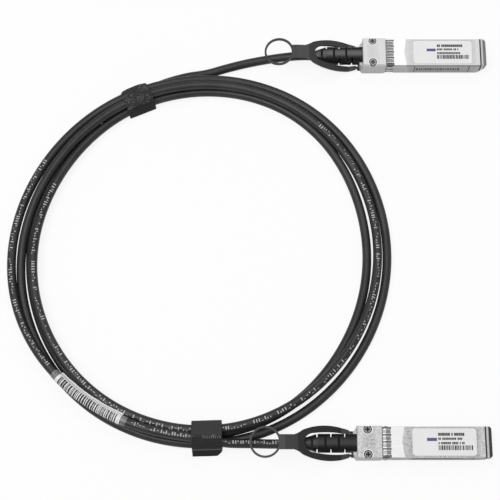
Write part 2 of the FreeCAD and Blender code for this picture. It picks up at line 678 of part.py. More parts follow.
def emi_collar(tag):
    """Stamped band round the nose, with spring fingers that bow out behind it."""
    name = "emi_collar" + tag
    half = d.nose_width / 2
    gauge = d.collar_gauge
    outer = box(name + "_outer", band_start, collar_end, -half, half, d.nose_floor, d.nose_top)
    inner = box(name + "_inner", band_start - OVERCUT, collar_end + OVERCUT, gauge - half, half - gauge,
                d.nose_floor + gauge, d.nose_top - gauge)
    notch = [(collar_end - d.collar_chevron, 0), (collar_end, -half), (collar_end + OVERCUT, -half),
             (collar_end + OVERCUT, half), (collar_end, half)]
    chevron = extrude(name + "_chevron", sketch_on(None, name + "_chevron_plan", "XY_Plane",
                                                   d.nose_top - gauge, [notch]), gauge + OVERCUT)
    gap_half = d.fork_slot_width / 2 + d.slide_clearance
    gap = box(name + "_gap", band_start - OVERCUT, fork_slot_end + d.slide_clearance, -gap_half, gap_half,
              0, d.nose_floor + gauge)
    band = cut(name + "_band", outer, gather("MultiFuse", name + "_cuts", [inner, chevron, gap]))
    root = band_start + gauge
    crest = d.block_length + d.finger_crest
    tip = d.block_length + d.finger_tip
    finger = [(root, -gauge), (root, 0), (band_start, 0), (crest, d.finger_height), (tip, 0), (tip + gauge, 0),
              (crest + gauge / 2, d.finger_height - gauge), (band_start, -gauge)]
    profile = sketch_on(None, name + "_finger_side", "XZ_Plane", 0, [finger])
    middle = (d.nose_top + d.nose_floor) / 2
    spots = [(0, step * d.finger_pitch, d.nose_top) for step in spread(4)]
    spots += [(-90, half, middle + step * d.finger_pitch) for step in spread(2)]
    spots += [(90, -half, middle + step * d.finger_pitch) for step in spread(2)]
    spots += [(180, side * d.finger_low_y, d.nose_floor) for side in (1, -1)]
    pieces = [band]
    for number, (angle, y, z) in enumerate(spots, start=1):
        strip = extrude("%s_finger_%d" % (name, number), profile, d.finger_width, symmetric=True)
        turned = FreeCAD.Rotation(FreeCAD.Vector(1, 0, 0), angle)
        strip.Placement = FreeCAD.Placement(FreeCAD.Vector(), turned)
        bind(strip, ".Placement.Base.y", y)
        bind(strip, ".Placement.Base.z", z)
        pieces.append(strip)
    return gather("MultiFuse", name, pieces)


# ---------------------------------------------------------------- release mechanism

def slide_arms(name, grow=0):
    """The two arms that leave the plate behind the block and carry the pull tab."""
    pieces = []
    for side, label in ((1, "left"), (-1, "right")):
        low = side * d.arm_y - d.arm_width / 2 - grow
        high = side * d.arm_y + d.arm_width / 2 + grow
        pieces.append(box(name + "_arm_" + label, -d.arm_reach - grow, -d.slide_tail, low, high,
                          d.arm_height - d.sheet_gauge - grow, d.arm_height + grow))
        if grow == 0:
            pieces.append(box(name + "_riser_" + label, -d.slide_tail - d.sheet_gauge, -d.slide_tail, low, high,
                              slide_bottom, d.arm_height))
    return pieces


def latch_slide(tag):
    """Stamped plate in the channel; pulled back, its ramps push the cage's latch off the boss."""
    name = "latch_slide" + tag
    half = d.channel_width / 2 - d.slide_clearance
    pieces = slide_arms(name)
    tine_front = boss_x + d.tine_reach
    pieces.append(box(name + "_plate", -d.slide_tail, slide_front, -half, half, slide_bottom, slide_top))
    outer = d.fork_slot_width / 2 - d.slide_clearance
    for side, label in ((1, "left"), (-1, "right")):
        middle = side * (outer + d.tine_gap / 2) / 2
        width = outer - d.tine_gap / 2
        low, high = middle - width / 2, middle + width / 2
        pieces.append(box(name + "_tine_" + label, slide_front, tine_front, low, high,
                          slide_bottom, slide_top))
        ramp = [(tine_front - d.ramp_length, slide_bottom), (tine_front, slide_bottom - d.ramp_drop),
                (tine_front, slide_bottom)]
        wedge = extrude(name + "_ramp_" + label,
                        sketch_on(None, name + "_ramp_side_" + label, "XZ_Plane", 0 - middle, [ramp]),
                        width, symmetric=True)
        pieces.append(wedge)
        lug_out = side * half
        lug_in = side * (half - d.arm_width)
        lug = (lug_in, lug_out) if side > 0 else (lug_out, lug_in)
        pieces.append(box(name + "_lug_" + label, lug_rear, lug_rear + d.sheet_gauge, lug[0], lug[1],
                          slide_top, slide_top + d.lug_height))
    return gather("MultiFuse", name, pieces)


def return_springs(tag):
    """Two small compression springs behind the slide's lugs, as plain eight-sided sleeves."""
    name = "return_springs" + tag
    length = lug_rear - d.spring_pocket_rear
    z = channel_top + d.spring_pocket_height / 2
    pieces = []
    for side, label in ((1, "left"), (-1, "right")):
        y = side * d.spring_y
        coil = prism(name + "_coil_" + label, d.spring_pocket_rear, y, z, d.spring_diameter, length, 8)
        bore = prism(name + "_bore_" + label, d.spring_pocket_rear - OVERCUT, y, z, d.spring_bore,
                     length + 2 * OVERCUT, 8)
        pieces.append(cut(name + "_" + label, coil, bore))
    return gather("Compound", name, pieces)


def tab_side():
    """Side view of the tab: two legs that rise behind the boot to a crest, and a ring that slopes down."""
    far = d.ring_x + d.ring_outer / 2 + OVERCUT
    t = d.tab_thickness / 2
    line = [(d.tab_leg_end, d.tab_leg_height), (d.tab_knee, d.tab_leg_height),
            (d.tab_crest, d.tab_crest_height),
            (d.tab_neck_x, d.tab_neck_height), (far, d.tab_ring_height)]
    upper = [(0 - x, z + t) for x, z in line]
    lower = [(0 - x, z - t) for x, z in reversed(line)]
    return upper + lower


def pull_tab(tag):
    """Moulded tab: finger ring, neck and an oval frame with legs beside the boot to the slide's arms."""
    name = "pull_tab" + tag
    high = d.tab_neck_height + 2 * d.tab_thickness
    outline = [(-d.tab_leg_end, -d.leg_outer), (-d.tab_leg_end, d.leg_outer, d.oval_radius),
               (-d.oval_shoulder, d.oval_shoulder_half, -d.flare_radius), (-d.oval_start, d.neck_half),
               (-d.ring_x + d.ring_inner / 2, d.neck_half), (-d.ring_x + d.ring_inner / 2, -d.neck_half),
               (-d.oval_start, -d.neck_half, -d.flare_radius),
               (-d.oval_shoulder, -d.oval_shoulder_half, d.oval_radius)]
    opening = [(OVERCUT - d.tab_leg_end, -d.leg_inner), (OVERCUT - d.tab_leg_end, d.leg_inner),
               (-d.tab_leg_end, d.leg_inner, d.opening_radius),
               (-d.opening_side, d.leg_inner, d.opening_end_radius),
               (-d.opening_end, 0, d.opening_end_radius), (-d.opening_side, -d.leg_inner, d.opening_radius),
               (-d.tab_leg_end, -d.leg_inner)]
    frame = extrude(name + "_frame", sketch_on(None, name + "_frame_plan", "XY_Plane", 0, [outline]), high)
    ring = cylinder(name + "_ring", -d.ring_x, 0, 0, d.ring_outer, high)
    window = sketch_on(None, name + "_opening_plan", "XY_Plane", 0, [opening])
    holes = [extrude(name + "_opening", window, high),
             cylinder(name + "_finger_hole", -d.ring_x, 0, 0, d.ring_inner, high)]
    plan = cut(name + "_plan", gather("MultiFuse", name + "_blank", [frame, ring]),
               gather("MultiFuse", name + "_holes", holes))
    side = extrude(name + "_side", sketch_on(None, name + "_side_view", "XZ_Plane", 0, [tab_side()]),
                   d.ring_outer * 2, symmetric=True)
    bent = gather("MultiCommon", name + "_bent", [plan, side])
    arms = [piece for piece in slide_arms(name + "_socket") if "_arm_" in piece.Name]
    return cut(name, bent, gather("MultiFuse", name + "_sockets", arms))


# ---------------------------------------------------------------- card and cable entry

def paddle_card(tag):
    name = "paddle_card" + tag
    wide, narrow = d.card_width / 2, d.card_edge_width / 2
    neck_x = card_front - d.card_edge_length
    bevel = d.contact_setback
    plan = [(d.card_start, -wide), (neck_x, -wide), (neck_x, -narrow), (card_front - bevel, -narrow),
            (card_front, bevel - narrow), (card_front, narrow - bevel), (card_front - bevel, narrow),
            (neck_x, narrow), (neck_x, wide), (d.card_start, wide)]
    outline = sketch_on(None, name + "_plan", "XY_Plane", d.card_bottom, [plan])
    return extrude(name, outline, d.card_thickness)


def edge_contacts(tag):
    name = "edge_contacts" + tag
    front = card_front - d.contact_setback
    pads = []
    for face, low in (("top", card_top), ("bottom", d.card_bottom - d.contact_thickness)):
        for number, step in enumerate(spread(round(d.contact_count.number)), start=1):
            middle = step * d.contact_pitch
            pads.append(box("%s_%s_%d" % (name, face, number), front - d.contact_length, front,
                            middle - d.contact_width / 2, middle + d.contact_width / 2,
                            low, low + d.contact_thickness))
    return gather("Compound", name, pads)


def card_components(tag):
    """A memory chip and a row of coupling capacitors."""
    name = "card_components" + tag
    pieces = [box(name + "_chip", d.chip_x, d.chip_x + d.chip_length, -d.chip_width / 2, d.chip_width / 2,
                  card_top, card_top + d.chip_height)]
    for number, step in enumerate(spread(round(d.capacitor_count.number)), start=1):
        middle = step * d.capacitor_pitch
        pieces.append(box("%s_capacitor_%d" % (name, number), d.capacitor_x, d.capacitor_x + d.capacitor_length,
                          middle - d.capacitor_width / 2, middle + d.capacitor_width / 2,
                          card_top, card_top + d.capacitor_height))
    return gather("Compound", name, pieces)


def crimp_ferrule(tag):
    """Ferrule that a hexagonal die has crimped round the cable's shield."""
    name = "crimp_ferrule" + tag
    start = d.rear_wall + d.flange_thickness
    sleeve = prism(name + "_sleeve", start, 0, d.boot_axis, d.ferrule_diameter, d.ferrule_length, 6)
    bore = prism(name + "_bore", start - OVERCUT, 0, d.boot_axis, 2 * d.lead_diameter + 2 * d.slide_clearance,
                 d.ferrule_length + 2 * OVERCUT, 12)
    return cut(name, sleeve, bore)


def twinax_leads(tag):
    """Two conductor pairs that run from the ferrule to the card, as plain eight-sided rods."""
    name = "twinax_leads" + tag
    start = d.rear_wall + d.flange_thickness
    leave = start + d.ferrule_length
    landing_z = card_top + d.lead_diameter / 2
    leads = []
    for side, label in ((1, "left"), (-1, "right")):
        inner_y = side * d.lead_diameter / 2
        outer_y = side * d.lead_spread
        straight = prism("%s_%s_in" % (name, label), start, inner_y, d.boot_axis, d.lead_diameter,
                         d.ferrule_length, 8)
        first = sketch_on(None, "%s_%s_exit" % (name, label), "YZ_Plane", leave,
                          [octagon(inner_y, d.boot_axis, d.lead_diameter)])
        second = sketch_on(None, "%s_%s_entry" % (name, label), "YZ_Plane", d.card_start,
                           [octagon(outer_y, landing_z, d.lead_diameter)])
        slant = loft("%s_%s_slant" % (name, label), [first, second])
        landing = prism("%s_%s_out" % (name, label), d.card_start, outer_y, landing_z, d.lead_diameter,
                        d.lead_landing, 8)
        leads.append(gather("MultiFuse", "%s_%s" % (name, label), [straight, slant, landing]))
    return gather("Compound", name, leads)


def strain_relief(tag):
    """Moulded boot: round-cornered, tapered at its end, cut by flex grooves, anchored by a flange."""
    name = "strain_relief" + tag
    section = faceted_rectangle(d.boot_axis, d.boot_width, d.boot_height, d.boot_round)
    tip = faceted_rectangle(d.boot_axis, d.boot_tip, d.boot_tip, d.boot_tip_round)
    rear = sketch_on(None, name + "_section", "YZ_Plane", -d.boot_straight, [section])
    end = sketch_on(None, name + "_tip_section", "YZ_Plane", -d.boot_length, [tip])
    straight = extrude(name + "_straight", rear, d.boot_straight)
    taper = loft(name + "_taper", [rear, end])
    wide = d.block_width / 2
    tools = [box(name + "_step", -d.step_depth, OVERCUT, -wide, wide, 0, d.step_height)]
    bottom, top = d.boot_axis - d.boot_height / 2, d.boot_axis + d.boot_height / 2
    for number in range(round(d.groove_count.number)):
        x = -d.groove_start - number * d.groove_pitch
        x0, x1 = x - d.groove_width / 2, x + d.groove_width / 2
        tools.append(box("%s_groove_top_%d" % (name, number), x0, x1, -wide, wide,
                         top - d.groove_depth, top + OVERCUT))
        tools.append(box("%s_groove_low_%d" % (name, number), x0, x1, -wide, wide, bottom - OVERCUT,
                         bottom + d.groove_depth))
        x = -d.notch_start - number * d.notch_pitch
        x0, x1 = x - d.groove_width / 2, x + d.groove_width / 2
        inner = d.boot_width / 2 - d.groove_depth
        tools.append(box("%s_notch_left_%d" % (name, number), x0, x1, inner, wide, 0, d.block_top))
        tools.append(box("%s_notch_right_%d" % (name, number), x0, x1, -wide, -inner, 0, d.block_top))
    outside = cut(name + "_outside", gather("MultiFuse", name + "_body", [straight, taper]),
                  gather("MultiFuse", name + "_grooves", tools))
    cap = d.split_height - d.fit
    neck = box(name + "_neck", -d.step_depth, d.rear_wall, -d.neck_width / 2, d.neck_width / 2, floor_top, cap)
    flange = box(name + "_flange", d.rear_wall, d.rear_wall + d.flange_thickness,
                 -d.flange_width / 2, d.flange_width / 2, floor_top, cap)
    return gather("MultiFuse", name, [outside, neck, flange])


def plug_label(tag):
    name = "plug_label" + tag
    bottom = d.nose_top - d.label_recess
    x0, x1 = label_start + d.label_margin, label_end - d.label_margin
    y, c = d.label_width / 2 - d.label_margin, d.label_corner
    plan = cut_rectangle(x0, x1, y, c)
    return extrude(name, sketch_on(None, name + "_plan", "XY_Plane", bottom, [plan]), d.label_thickness)


# ---------------------------------------------------------------- cable

# Routes of the two uncoiled ends, from the boot's tip into the coil.
TAIL_A = [(-25.2, 92.0, 4.7), (-32.0, 92.3, 4.3), (-40.0, 92.1, 3.0), (-49.0, 91.0, 2.1),
          (-58.2, 89.1, 2.07), (-67.7, 86.8, 2.07), (-77.0, 84.2, 2.07), (-86.5, 81.1, 2.07)]
TAIL_B = [(-32.4, -92.0, 4.7), (-39.5, -92.2, 4.4), (-47.0, -92.3, 4.3), (-54.5, -92.1, 4.7),
          (-61.0, -92.2, 5.4), (-66.9, -92.0, 5.8)]

# Outer shape of the wound cable: angle, inner and outer radius, height of the inner and the outer side.
COIL_SHAPE = [(0, 72.2, 85.1, 6.2, 5.0), (30, 74.5, 87.5, 5.4, 5.0), (60, 77.3, 87.9, 7.4, 7.0),
              (90, 77.2, 88.2, 9.2, 8.0), (120, 76.2, 87.2, 9.8, 9.6), (150, 74.2, 88.3, 8.2, 7.4),
              (180, 75.2, 89.2, 8.2, 6.6), (210, 76.4, 89.1, 8.0, 7.6), (240, 78.4, 88.1, 8.8, 8.8),
              (270, 78.6, 88.8, 9.4, 9.2), (300, 77.9, 87.8, 8.2, 4.4), (330, 74.1, 86.0, 7.4, 5.0)]
BEND_SHARE = 0.45      # part of a run that the bend at its end takes
CABLE_SIDES = 14       # flats round the uncoiled ends
COIL_STEP = 7.5        # degrees between the sections of the coil
TIE_FLAT = 5.0         # degrees on each side of a strap where the coil lies on it
TIE_FADE = 12.0        # degrees over which the coil comes down again


def bent_tube(node, route):
    """A tube of many flats along straight runs joined by tangent arcs, as large as the runs allow."""
    points = [FreeCAD.Vector(*point) for point in route]
    edges = []
    radii = []
    last = points[0]
    for before, corner, after in zip(points, points[1:], points[2:]):
        inward, outward = before - corner, after - corner
        turn = math.pi - inward.getAngle(outward)
        reach = BEND_SHARE * min(inward.Length, outward.Length)
        radii.append(reach / math.tan(turn / 2))
        start = corner + FreeCAD.Vector(inward).normalize() * reach
        end = corner + FreeCAD.Vector(outward).normalize() * reach
        bisector = (FreeCAD.Vector(inward).normalize() + FreeCAD.Vector(outward).normalize()).normalize()
        middle = corner + bisector * (radii[-1] / math.cos(turn / 2) - radii[-1])
        edges.append(Part.LineSegment(last, start).toShape())
        edges.append(Part.Arc(start, middle, end).toShape())
        last = end
    edges.append(Part.LineSegment(last, points[-1]).toShape())
    path = Part.Wire(edges)
    radius = d.cable_diameter.number / 2
    circle = Part.Circle(points[0], points[1] - points[0], radius)
    corners = [circle.value(2 * math.pi * side / CABLE_SIDES) for side in range(CABLE_SIDES)]
    tube = path.makePipeShell([Part.makePolygon(corners + corners[:1])], True, False)
    section = CABLE_SIDES / 2 * radius ** 2 * math.sin(2 * math.pi / CABLE_SIDES)
    if not math.isclose(tube.Volume, section * path.Length, rel_tol=0.01):
        raise RuntimeError(node + " has a wrong volume")
    print("%s: length %.1f, radii %s" % (node, path.Length, " ".join("%.0f" % amount for amount in radii)))
    solid = doc.addObject("Part::Feature", node)
    solid.Shape = tube
    return solid


def coil_section(angle):
    """One cross-section of the coil, between the two nearest rows of its table."""
    spacing = 360 / len(COIL_SHAPE)
    index = int(angle // spacing)
    share = angle / spacing - index
    low, high = COIL_SHAPE[index], COIL_SHAPE[(index + 1) % len(COIL_SHAPE)]
    inner, outer, inner_top, outer_top = [a + (b - a) * share for a, b in zip(low[1:], high[1:])]
    lift = 0
    for tie in (d.tie_upper_angle.number, d.tie_lower_angle.number):
        distance = abs(angle - tie)
        lift = max(lift, d.tie_gauge.number * min(1, 1 - (distance - TIE_FLAT) / TIE_FADE))
    corners = [(inner, lift), (outer, lift), (outer, outer_top), (inner, inner_top)]
    turn = math.radians(angle)
    spots = [FreeCAD.Vector(r * math.cos(turn), r * math.sin(turn), z) for r, z in corners]
    return Part.makePolygon(spots + spots[:1])


def cable_coil():
    """The wound cable as one closed ring."""
    sections = [coil_section(step * COIL_STEP) for step in range(round(360 / COIL_STEP))]
    solid = doc.addObject("Part::Feature", "cable_coil")
    solid.Shape = Part.makeLoft(sections, True, True, True)
    return solid


def tie(name, angle, coil, flap_outside):
    """A hook-and-loop strap round the bundle, with its free end standing out on one side."""
    width = d.tie_outer - d.tie_inner
    loop = [(x + (d.tie_outer + d.tie_inner) / 2, z)
            for x, z in faceted_rectangle(d.tie_top / 2, width, d.tie_top, d.tie_round)]
    block = extrude(name + "_block", sketch_on(None, name + "_section", "XZ_Plane", 0, [loop]),
                    d.tie_width, symmetric=True)
    if flap_outside:
        x0, x1 = d.tie_outer - 2 * d.tie_gauge, d.tie_outer + d.tie_flap
    else:
        x0, x1 = d.tie_inner - d.tie_flap, d.tie_inner + 2 * d.tie_gauge
    flap = box(name + "_flap", x0, x1, -d.tie_width / 2, d.tie_width / 2, 0, d.tie_gauge)
    strap = gather("MultiFuse", name + "_strap", [block, flap])
    turned = FreeCAD.Rotation(FreeCAD.Vector(0, 0, 1), angle.number)
    strap.Placement = FreeCAD.Placement(FreeCAD.Vector(), turned)
    bind(strap, ".Placement.Base.x", -d.coil_setback)
    bind(strap, ".Placement.Base.y", -d.coil_offset)
    return cut(name, strap, coil)


# ---------------------------------------------------------------- build

for tag, x, y in (("_a", -d.plug_a_setback, d.plug_spread), ("_b", -d.plug_b_setback, -d.plug_spread)):
    for make in (bottom_shell, top_cover, cover_screws, emi_collar, latch_slide, return_springs, pull_tab,
                 paddle_card, edge_contacts, card_components, crimp_ferrule, twinax_leads, strain_relief,
                 plug_label):
        finish(make(tag), make.__name__ + tag, x, y)

coil = cable_coil()
finish(coil, "cable_coil", -d.coil_setback, -d.coil_offset)
finish(tie("tie_upper", d.tie_upper_angle, coil, False), "tie_upper")
finish(tie("tie_lower", d.tie_lower_angle, coil, True), "tie_lower")
finish(bent_tube("cable_tail_a", TAIL_A), "cable_tail_a")
finish(bent_tube("cable_tail_b", TAIL_B), "cable_tail_b")
doc.recompute()

for item in doc.Objects:
    if "Invalid" in item.State or "Error" in item.State:
        raise RuntimeError(item.Name + " failed: " + str(item.State))
for node, piece in nodes.items():
    if piece.Shape.isNull() or not piece.Shape.isValid() or not piece.Shape.Solids:
        raise RuntimeError(node + " has no valid shape")

os.makedirs("parts", exist_ok=True)
for node, piece in nodes.items():
    piece.Shape.exportStep(os.path.join("parts", node + ".step"))
print("%d nodes" % len(nodes))
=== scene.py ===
"""Looks of a direct attach copper cable, wound in a ring on a pale floor."""

import json
import math

import bmesh
import bpy
from mathutils import Matrix, Vector, noise

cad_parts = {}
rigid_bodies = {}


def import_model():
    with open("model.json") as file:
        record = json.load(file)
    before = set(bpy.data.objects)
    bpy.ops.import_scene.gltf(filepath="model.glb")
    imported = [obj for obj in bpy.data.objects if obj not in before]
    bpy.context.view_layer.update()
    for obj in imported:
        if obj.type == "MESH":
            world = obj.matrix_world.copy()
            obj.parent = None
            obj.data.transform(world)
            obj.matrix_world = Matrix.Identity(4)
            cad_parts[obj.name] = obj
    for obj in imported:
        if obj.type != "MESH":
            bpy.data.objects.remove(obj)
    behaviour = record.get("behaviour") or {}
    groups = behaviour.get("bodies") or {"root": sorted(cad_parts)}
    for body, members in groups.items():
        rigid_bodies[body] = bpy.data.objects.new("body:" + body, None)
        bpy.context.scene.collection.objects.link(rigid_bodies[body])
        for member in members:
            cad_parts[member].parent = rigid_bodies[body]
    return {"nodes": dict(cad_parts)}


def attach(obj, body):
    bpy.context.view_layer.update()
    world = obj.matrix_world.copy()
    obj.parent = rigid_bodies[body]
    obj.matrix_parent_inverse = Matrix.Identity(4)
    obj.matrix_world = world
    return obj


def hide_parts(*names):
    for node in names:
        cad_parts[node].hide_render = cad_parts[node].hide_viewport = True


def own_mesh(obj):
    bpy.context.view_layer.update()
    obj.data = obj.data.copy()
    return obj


for leftover in list(bpy.data.objects):
    bpy.data.objects.remove(leftover)

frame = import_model()
bpy.context.view_layer.update()

MM = 0.001
UP = Vector((0, 0, 1))

# ------------------------------------------------------------------ camera

CAMERA_PLACE = (-0.0558, -0.1657, 0.5494)
CAMERA_TARGET = (-0.0558, -0.0030, 0)
CAMERA_LENS = 90

camera_data = bpy.data.cameras.new("camera")
camera_data.lens = CAMERA_LENS
camera = bpy.data.objects.new("camera", camera_data)
bpy.context.scene.collection.objects.link(camera)
camera.location = CAMERA_PLACE
sight = Vector(CAMERA_TARGET) - camera.location
camera.rotation_euler = sight.to_track_quat("-Z", "Y").to_euler()
bpy.context.scene.camera = camera

# ------------------------------------------------------------------- cable

CABLE_RADIUS = 2.05
LOWEST_LAY = CABLE_RADIUS + 0.05
SPLINE_STEPS = 10
COIL_CENTRE = (-77.0, -5.3)

# The cable's two ends outside the ring: from plug A into it, and out of it to plug B.
TAIL_A = (
    (-25.2, 92.0, 4.7),
    (-32.0, 92.3, 4.3),
    (-40.0, 92.1, 3.0),
    (-49.0, 91.0, 2.1),
    (-58.2, 89.1, 2.07),
    (-67.7, 86.5, 2.07),
    (-76.6, 83.5, 2.2),
    (-86.0, 82.0, 2.9),
)
TAIL_B = (
    (-73.2, -90.9, 7.9),
    (-66.6, -92.1, 6.3),
    (-61.0, -92.2, 5.4),
    (-54.5, -92.1, 4.7),
    (-47.0, -92.3, 4.3),
    (-39.5, -92.2, 4.4),
    (-32.4, -92.0, 4.7),
)

# Radius and height of the cable round COIL_CENTRE at every eighth of a turn, from LAY_START degrees.
LAY_START = 105
LAY_STEP = 45
LAY_END = 1335
POINTS_PER_STEP = 3
LAY = (
    (85.6, 2.1), (79.3, 2.1), (79.2, 2.1), (82.6, 2.2), (82.0, 2.3), (75.7, 2.1), (74.7, 2.1), (79.6, 2.2),
    (79.0, 2.7), (76.0, 4.7), (77.8, 5.9), (80.4, 6.0), (81.1, 6.5), (79.1, 5.2), (79.6, 3.5), (82.0, 5.0),
    (81.1, 7.1), (80.6, 5.6), (83.9, 2.1), (86.3, 2.3), (86.3, 2.2), (83.9, 2.1), (83.9, 2.2), (86.3, 2.3),
    (84.3, 6.0), (85.6, 3.3), (87.5, 3.8), (84.5, 7.5), (84.6, 9.3),
)


def polar(radius, degrees, height):
    """A point of the coil from its radius, angle and height in millimetres."""
    angle = math.radians(degrees)
    return Vector(
        (
            COIL_CENTRE[0] + radius * math.cos(angle),
            COIL_CENTRE[1] + radius * math.sin(angle),
            height,
        )
    )


def smooth(values, place):
    """A value between the entries of a list, on a smooth curve through them."""
    k = min(int(place), len(values) - 2)
    t = place - k
    a, b, c, d = (values[min(max(k + j, 0), len(values) - 1)] for j in (-1, 0, 1, 2))
    return b + 0.5 * t * (c - a + t * (2 * a - 5 * b + 4 * c - d + t * (3 * (b - c) + d - a)))


def cable_route():
    """Control points of the whole cable, from plug A to plug B, in millimetres."""
    turn_step = LAY_STEP / POINTS_PER_STEP
    reach = 1 / math.cos(math.radians(turn_step / 2))
    radii, heights = zip(*LAY)
    route = [Vector(point) for point in TAIL_A]
    for number in range(round((LAY_END - LAY_START) / turn_step) + 1):
        place = number / POINTS_PER_STEP
        height = max(smooth(heights, place), LOWEST_LAY)
        route.append(polar(smooth(radii, place) * reach, LAY_START + turn_step * number, height))
    return route + [Vector(point) for point in TAIL_B]


def open_spline(name, route, radius, roundness):
    """A curve object with one open quadratic spline through the route."""
    data = bpy.data.curves.new(name, "CURVE")
    data.dimensions = "3D"
    data.resolution_u = SPLINE_STEPS
    data.bevel_depth = radius * MM
    data.bevel_resolution = roundness
    data.use_fill_caps = True
    spline = data.splines.new("NURBS")
    spline.points.add(len(route) - 1)
    for control, point in zip(spline.points, route):
        control.co = (*(point * MM), 1)
    spline.order_u = 3
    spline.use_endpoint_u = True
    spline.use_smooth = True
    obj = bpy.data.objects.new(name, data)
    bpy.context.scene.collection.objects.link(obj)
    return obj


cable = open_spline("network_cable", cable_route(), CABLE_RADIUS, 6)


class Centreline:
    """The cable's centreline by length in millimetres, and by degrees turned round the coil."""

    def __init__(self, route):
        guide = open_spline("guide", route, 0, 0)
        bpy.context.view_layer.update()
        mesh = bpy.data.meshes.new_from_object(
            guide.evaluated_get(bpy.context.evaluated_depsgraph_get())
        )
        self.points = [vertex.co / MM for vertex in mesh.vertices]
        bpy.data.objects.remove(guide)
        bpy.data.meshes.remove(mesh)
        self.lengths = [0.0]
        self.angles = []
        for before, after in zip(self.points, self.points[1:]):
            self.lengths.append(self.lengths[-1] + (after - before).length)
        for point in self.points:
            angle = math.degrees(math.atan2(point.y - COIL_CENTRE[1], point.x - COIL_CENTRE[0]))
            turned = self.angles[-1] if self.angles else angle
            self.angles.append(turned + (angle - turned + 180) % 360 - 180)

    def index(self, length):
        """Number of the stretch of the line that holds a length."""
        low = 0
        high = len(self.lengths) - 2
        while low < high:
            middle = (low + high + 1) // 2
            if self.lengths[middle] <= length:
                low = middle
            else:
                high = middle - 1
        return low

    def frame(self, length):
        """Place, direction, sideways and upward directions at a length."""
        k = self.index(length)
        span = self.lengths[k + 1] - self.lengths[k]
        part = (length - self.lengths[k]) / span
        place = self.points[k].lerp(self.points[k + 1], part)
        along = (self.points[k + 1] - self.points[k]).normalized()
        aside = UP.cross(along).normalized()
        return place, along, aside, along.cross(aside)

    def length_at(self, degrees):
        """Length where the line has turned to an angle round the coil."""
        for k in range(len(self.angles) - 1):
            if self.angles[k] <= degrees < self.angles[k + 1]:
                part = (degrees - self.angles[k]) / (self.angles[k + 1] - self.angles[k])
                return self.lengths[k] + part * (self.lengths[k + 1] - self.lengths[k])
        return self.lengths[-1]

    def surface(self, length, degrees, radius):
        """A point round the cable, at an angle from its side over its top."""
        place, _, aside, upward = self.frame(length)
        angle = math.radians(degrees)
        return place + (aside * math.cos(angle) + upward * math.sin(angle)) * radius


line = Centreline(cable_route())

# ------------------------------------------------------------------- plugs

# Each plug's rear edge and middle line, its greys, the scale of its zinc's grain and the seeds of its
# printing. Pairs of greys are dark and light; a boot's are crown and flank, a screw's bore and recess.
# The plugs are alike, but plug a's greys are a lit copy and plug b's a shaded copy of the same
# materials: painted light and shade. A boot's crown grey is a painted highlight and its flank grey
# painted shade; the nose rim's grey, the collar's side grey and a screw's bore and recess greys are
# painted shade.
PLUGS = {
    "a": {
        "rear": -2.4, "middle": 92.0, "cover": (196, 212), "shell": (166, 184), "lip_shade": 136, "side": 188,
        "scale": 2600, "boot": (92, 22), "tab": (46, 56), "screw": (104, 64), "seeds": (5, 17),
    },
    "b": {
        "rear": -9.6, "middle": -92.0, "cover": (138, 208), "shell": (140, 196), "lip_shade": 66, "side": 178,
        "scale": 1700, "boot": (56, 14), "tab": (34, 42), "screw": (58, 34), "seeds": (9, 21),
    },
}

# Places in millimetres, along the plug from the cover's rear edge, beside its axis or above the floor.
SEAT = (10.9, 14.9)        # where the collar's fingers lie; painted shade on the zinc under them
SEAM = (55.25, 55.95)      # dark line where the cover ends
LIP = (56.9, 60.0)         # the nose's rim, in painted shade
SCREW = (4.6, 5.4)         # a screw's place along and beside the axis
BORE_RIM = 2.25            # radius of the bright rim round a screw's bore
BORE = 1.9                 # radius of the bore, painted in shade
NOSE_SIDE = 6.45           # beyond this, beside the axis, lie the nose's sides
SPLIT = (7.8, 8.6)         # heights of the dark line between housing and cover
PANEL = (24.6, 50.4)       # ends of the sunk panel on the housing's sides
PANEL_RISE = (1.4, 7.4)    # heights of the panel
PANEL_EDGE = 0.25          # half width of the shade at its ends
MARKS_SIDE = 6.6           # place of the marks on it, beside the axis
ARM_REACH = 30.0           # the latch slide's arms end within this length behind the housing
GROOVE_START = 7.8         # the strain relief's grooves, painted in shade, behind the housing
GROOVE_PITCH = 5.8
GROOVE_COUNT = 3
LABEL_INK = 8.965          # height of the printing on the plug's label

# --------------------------------------------------------------- materials


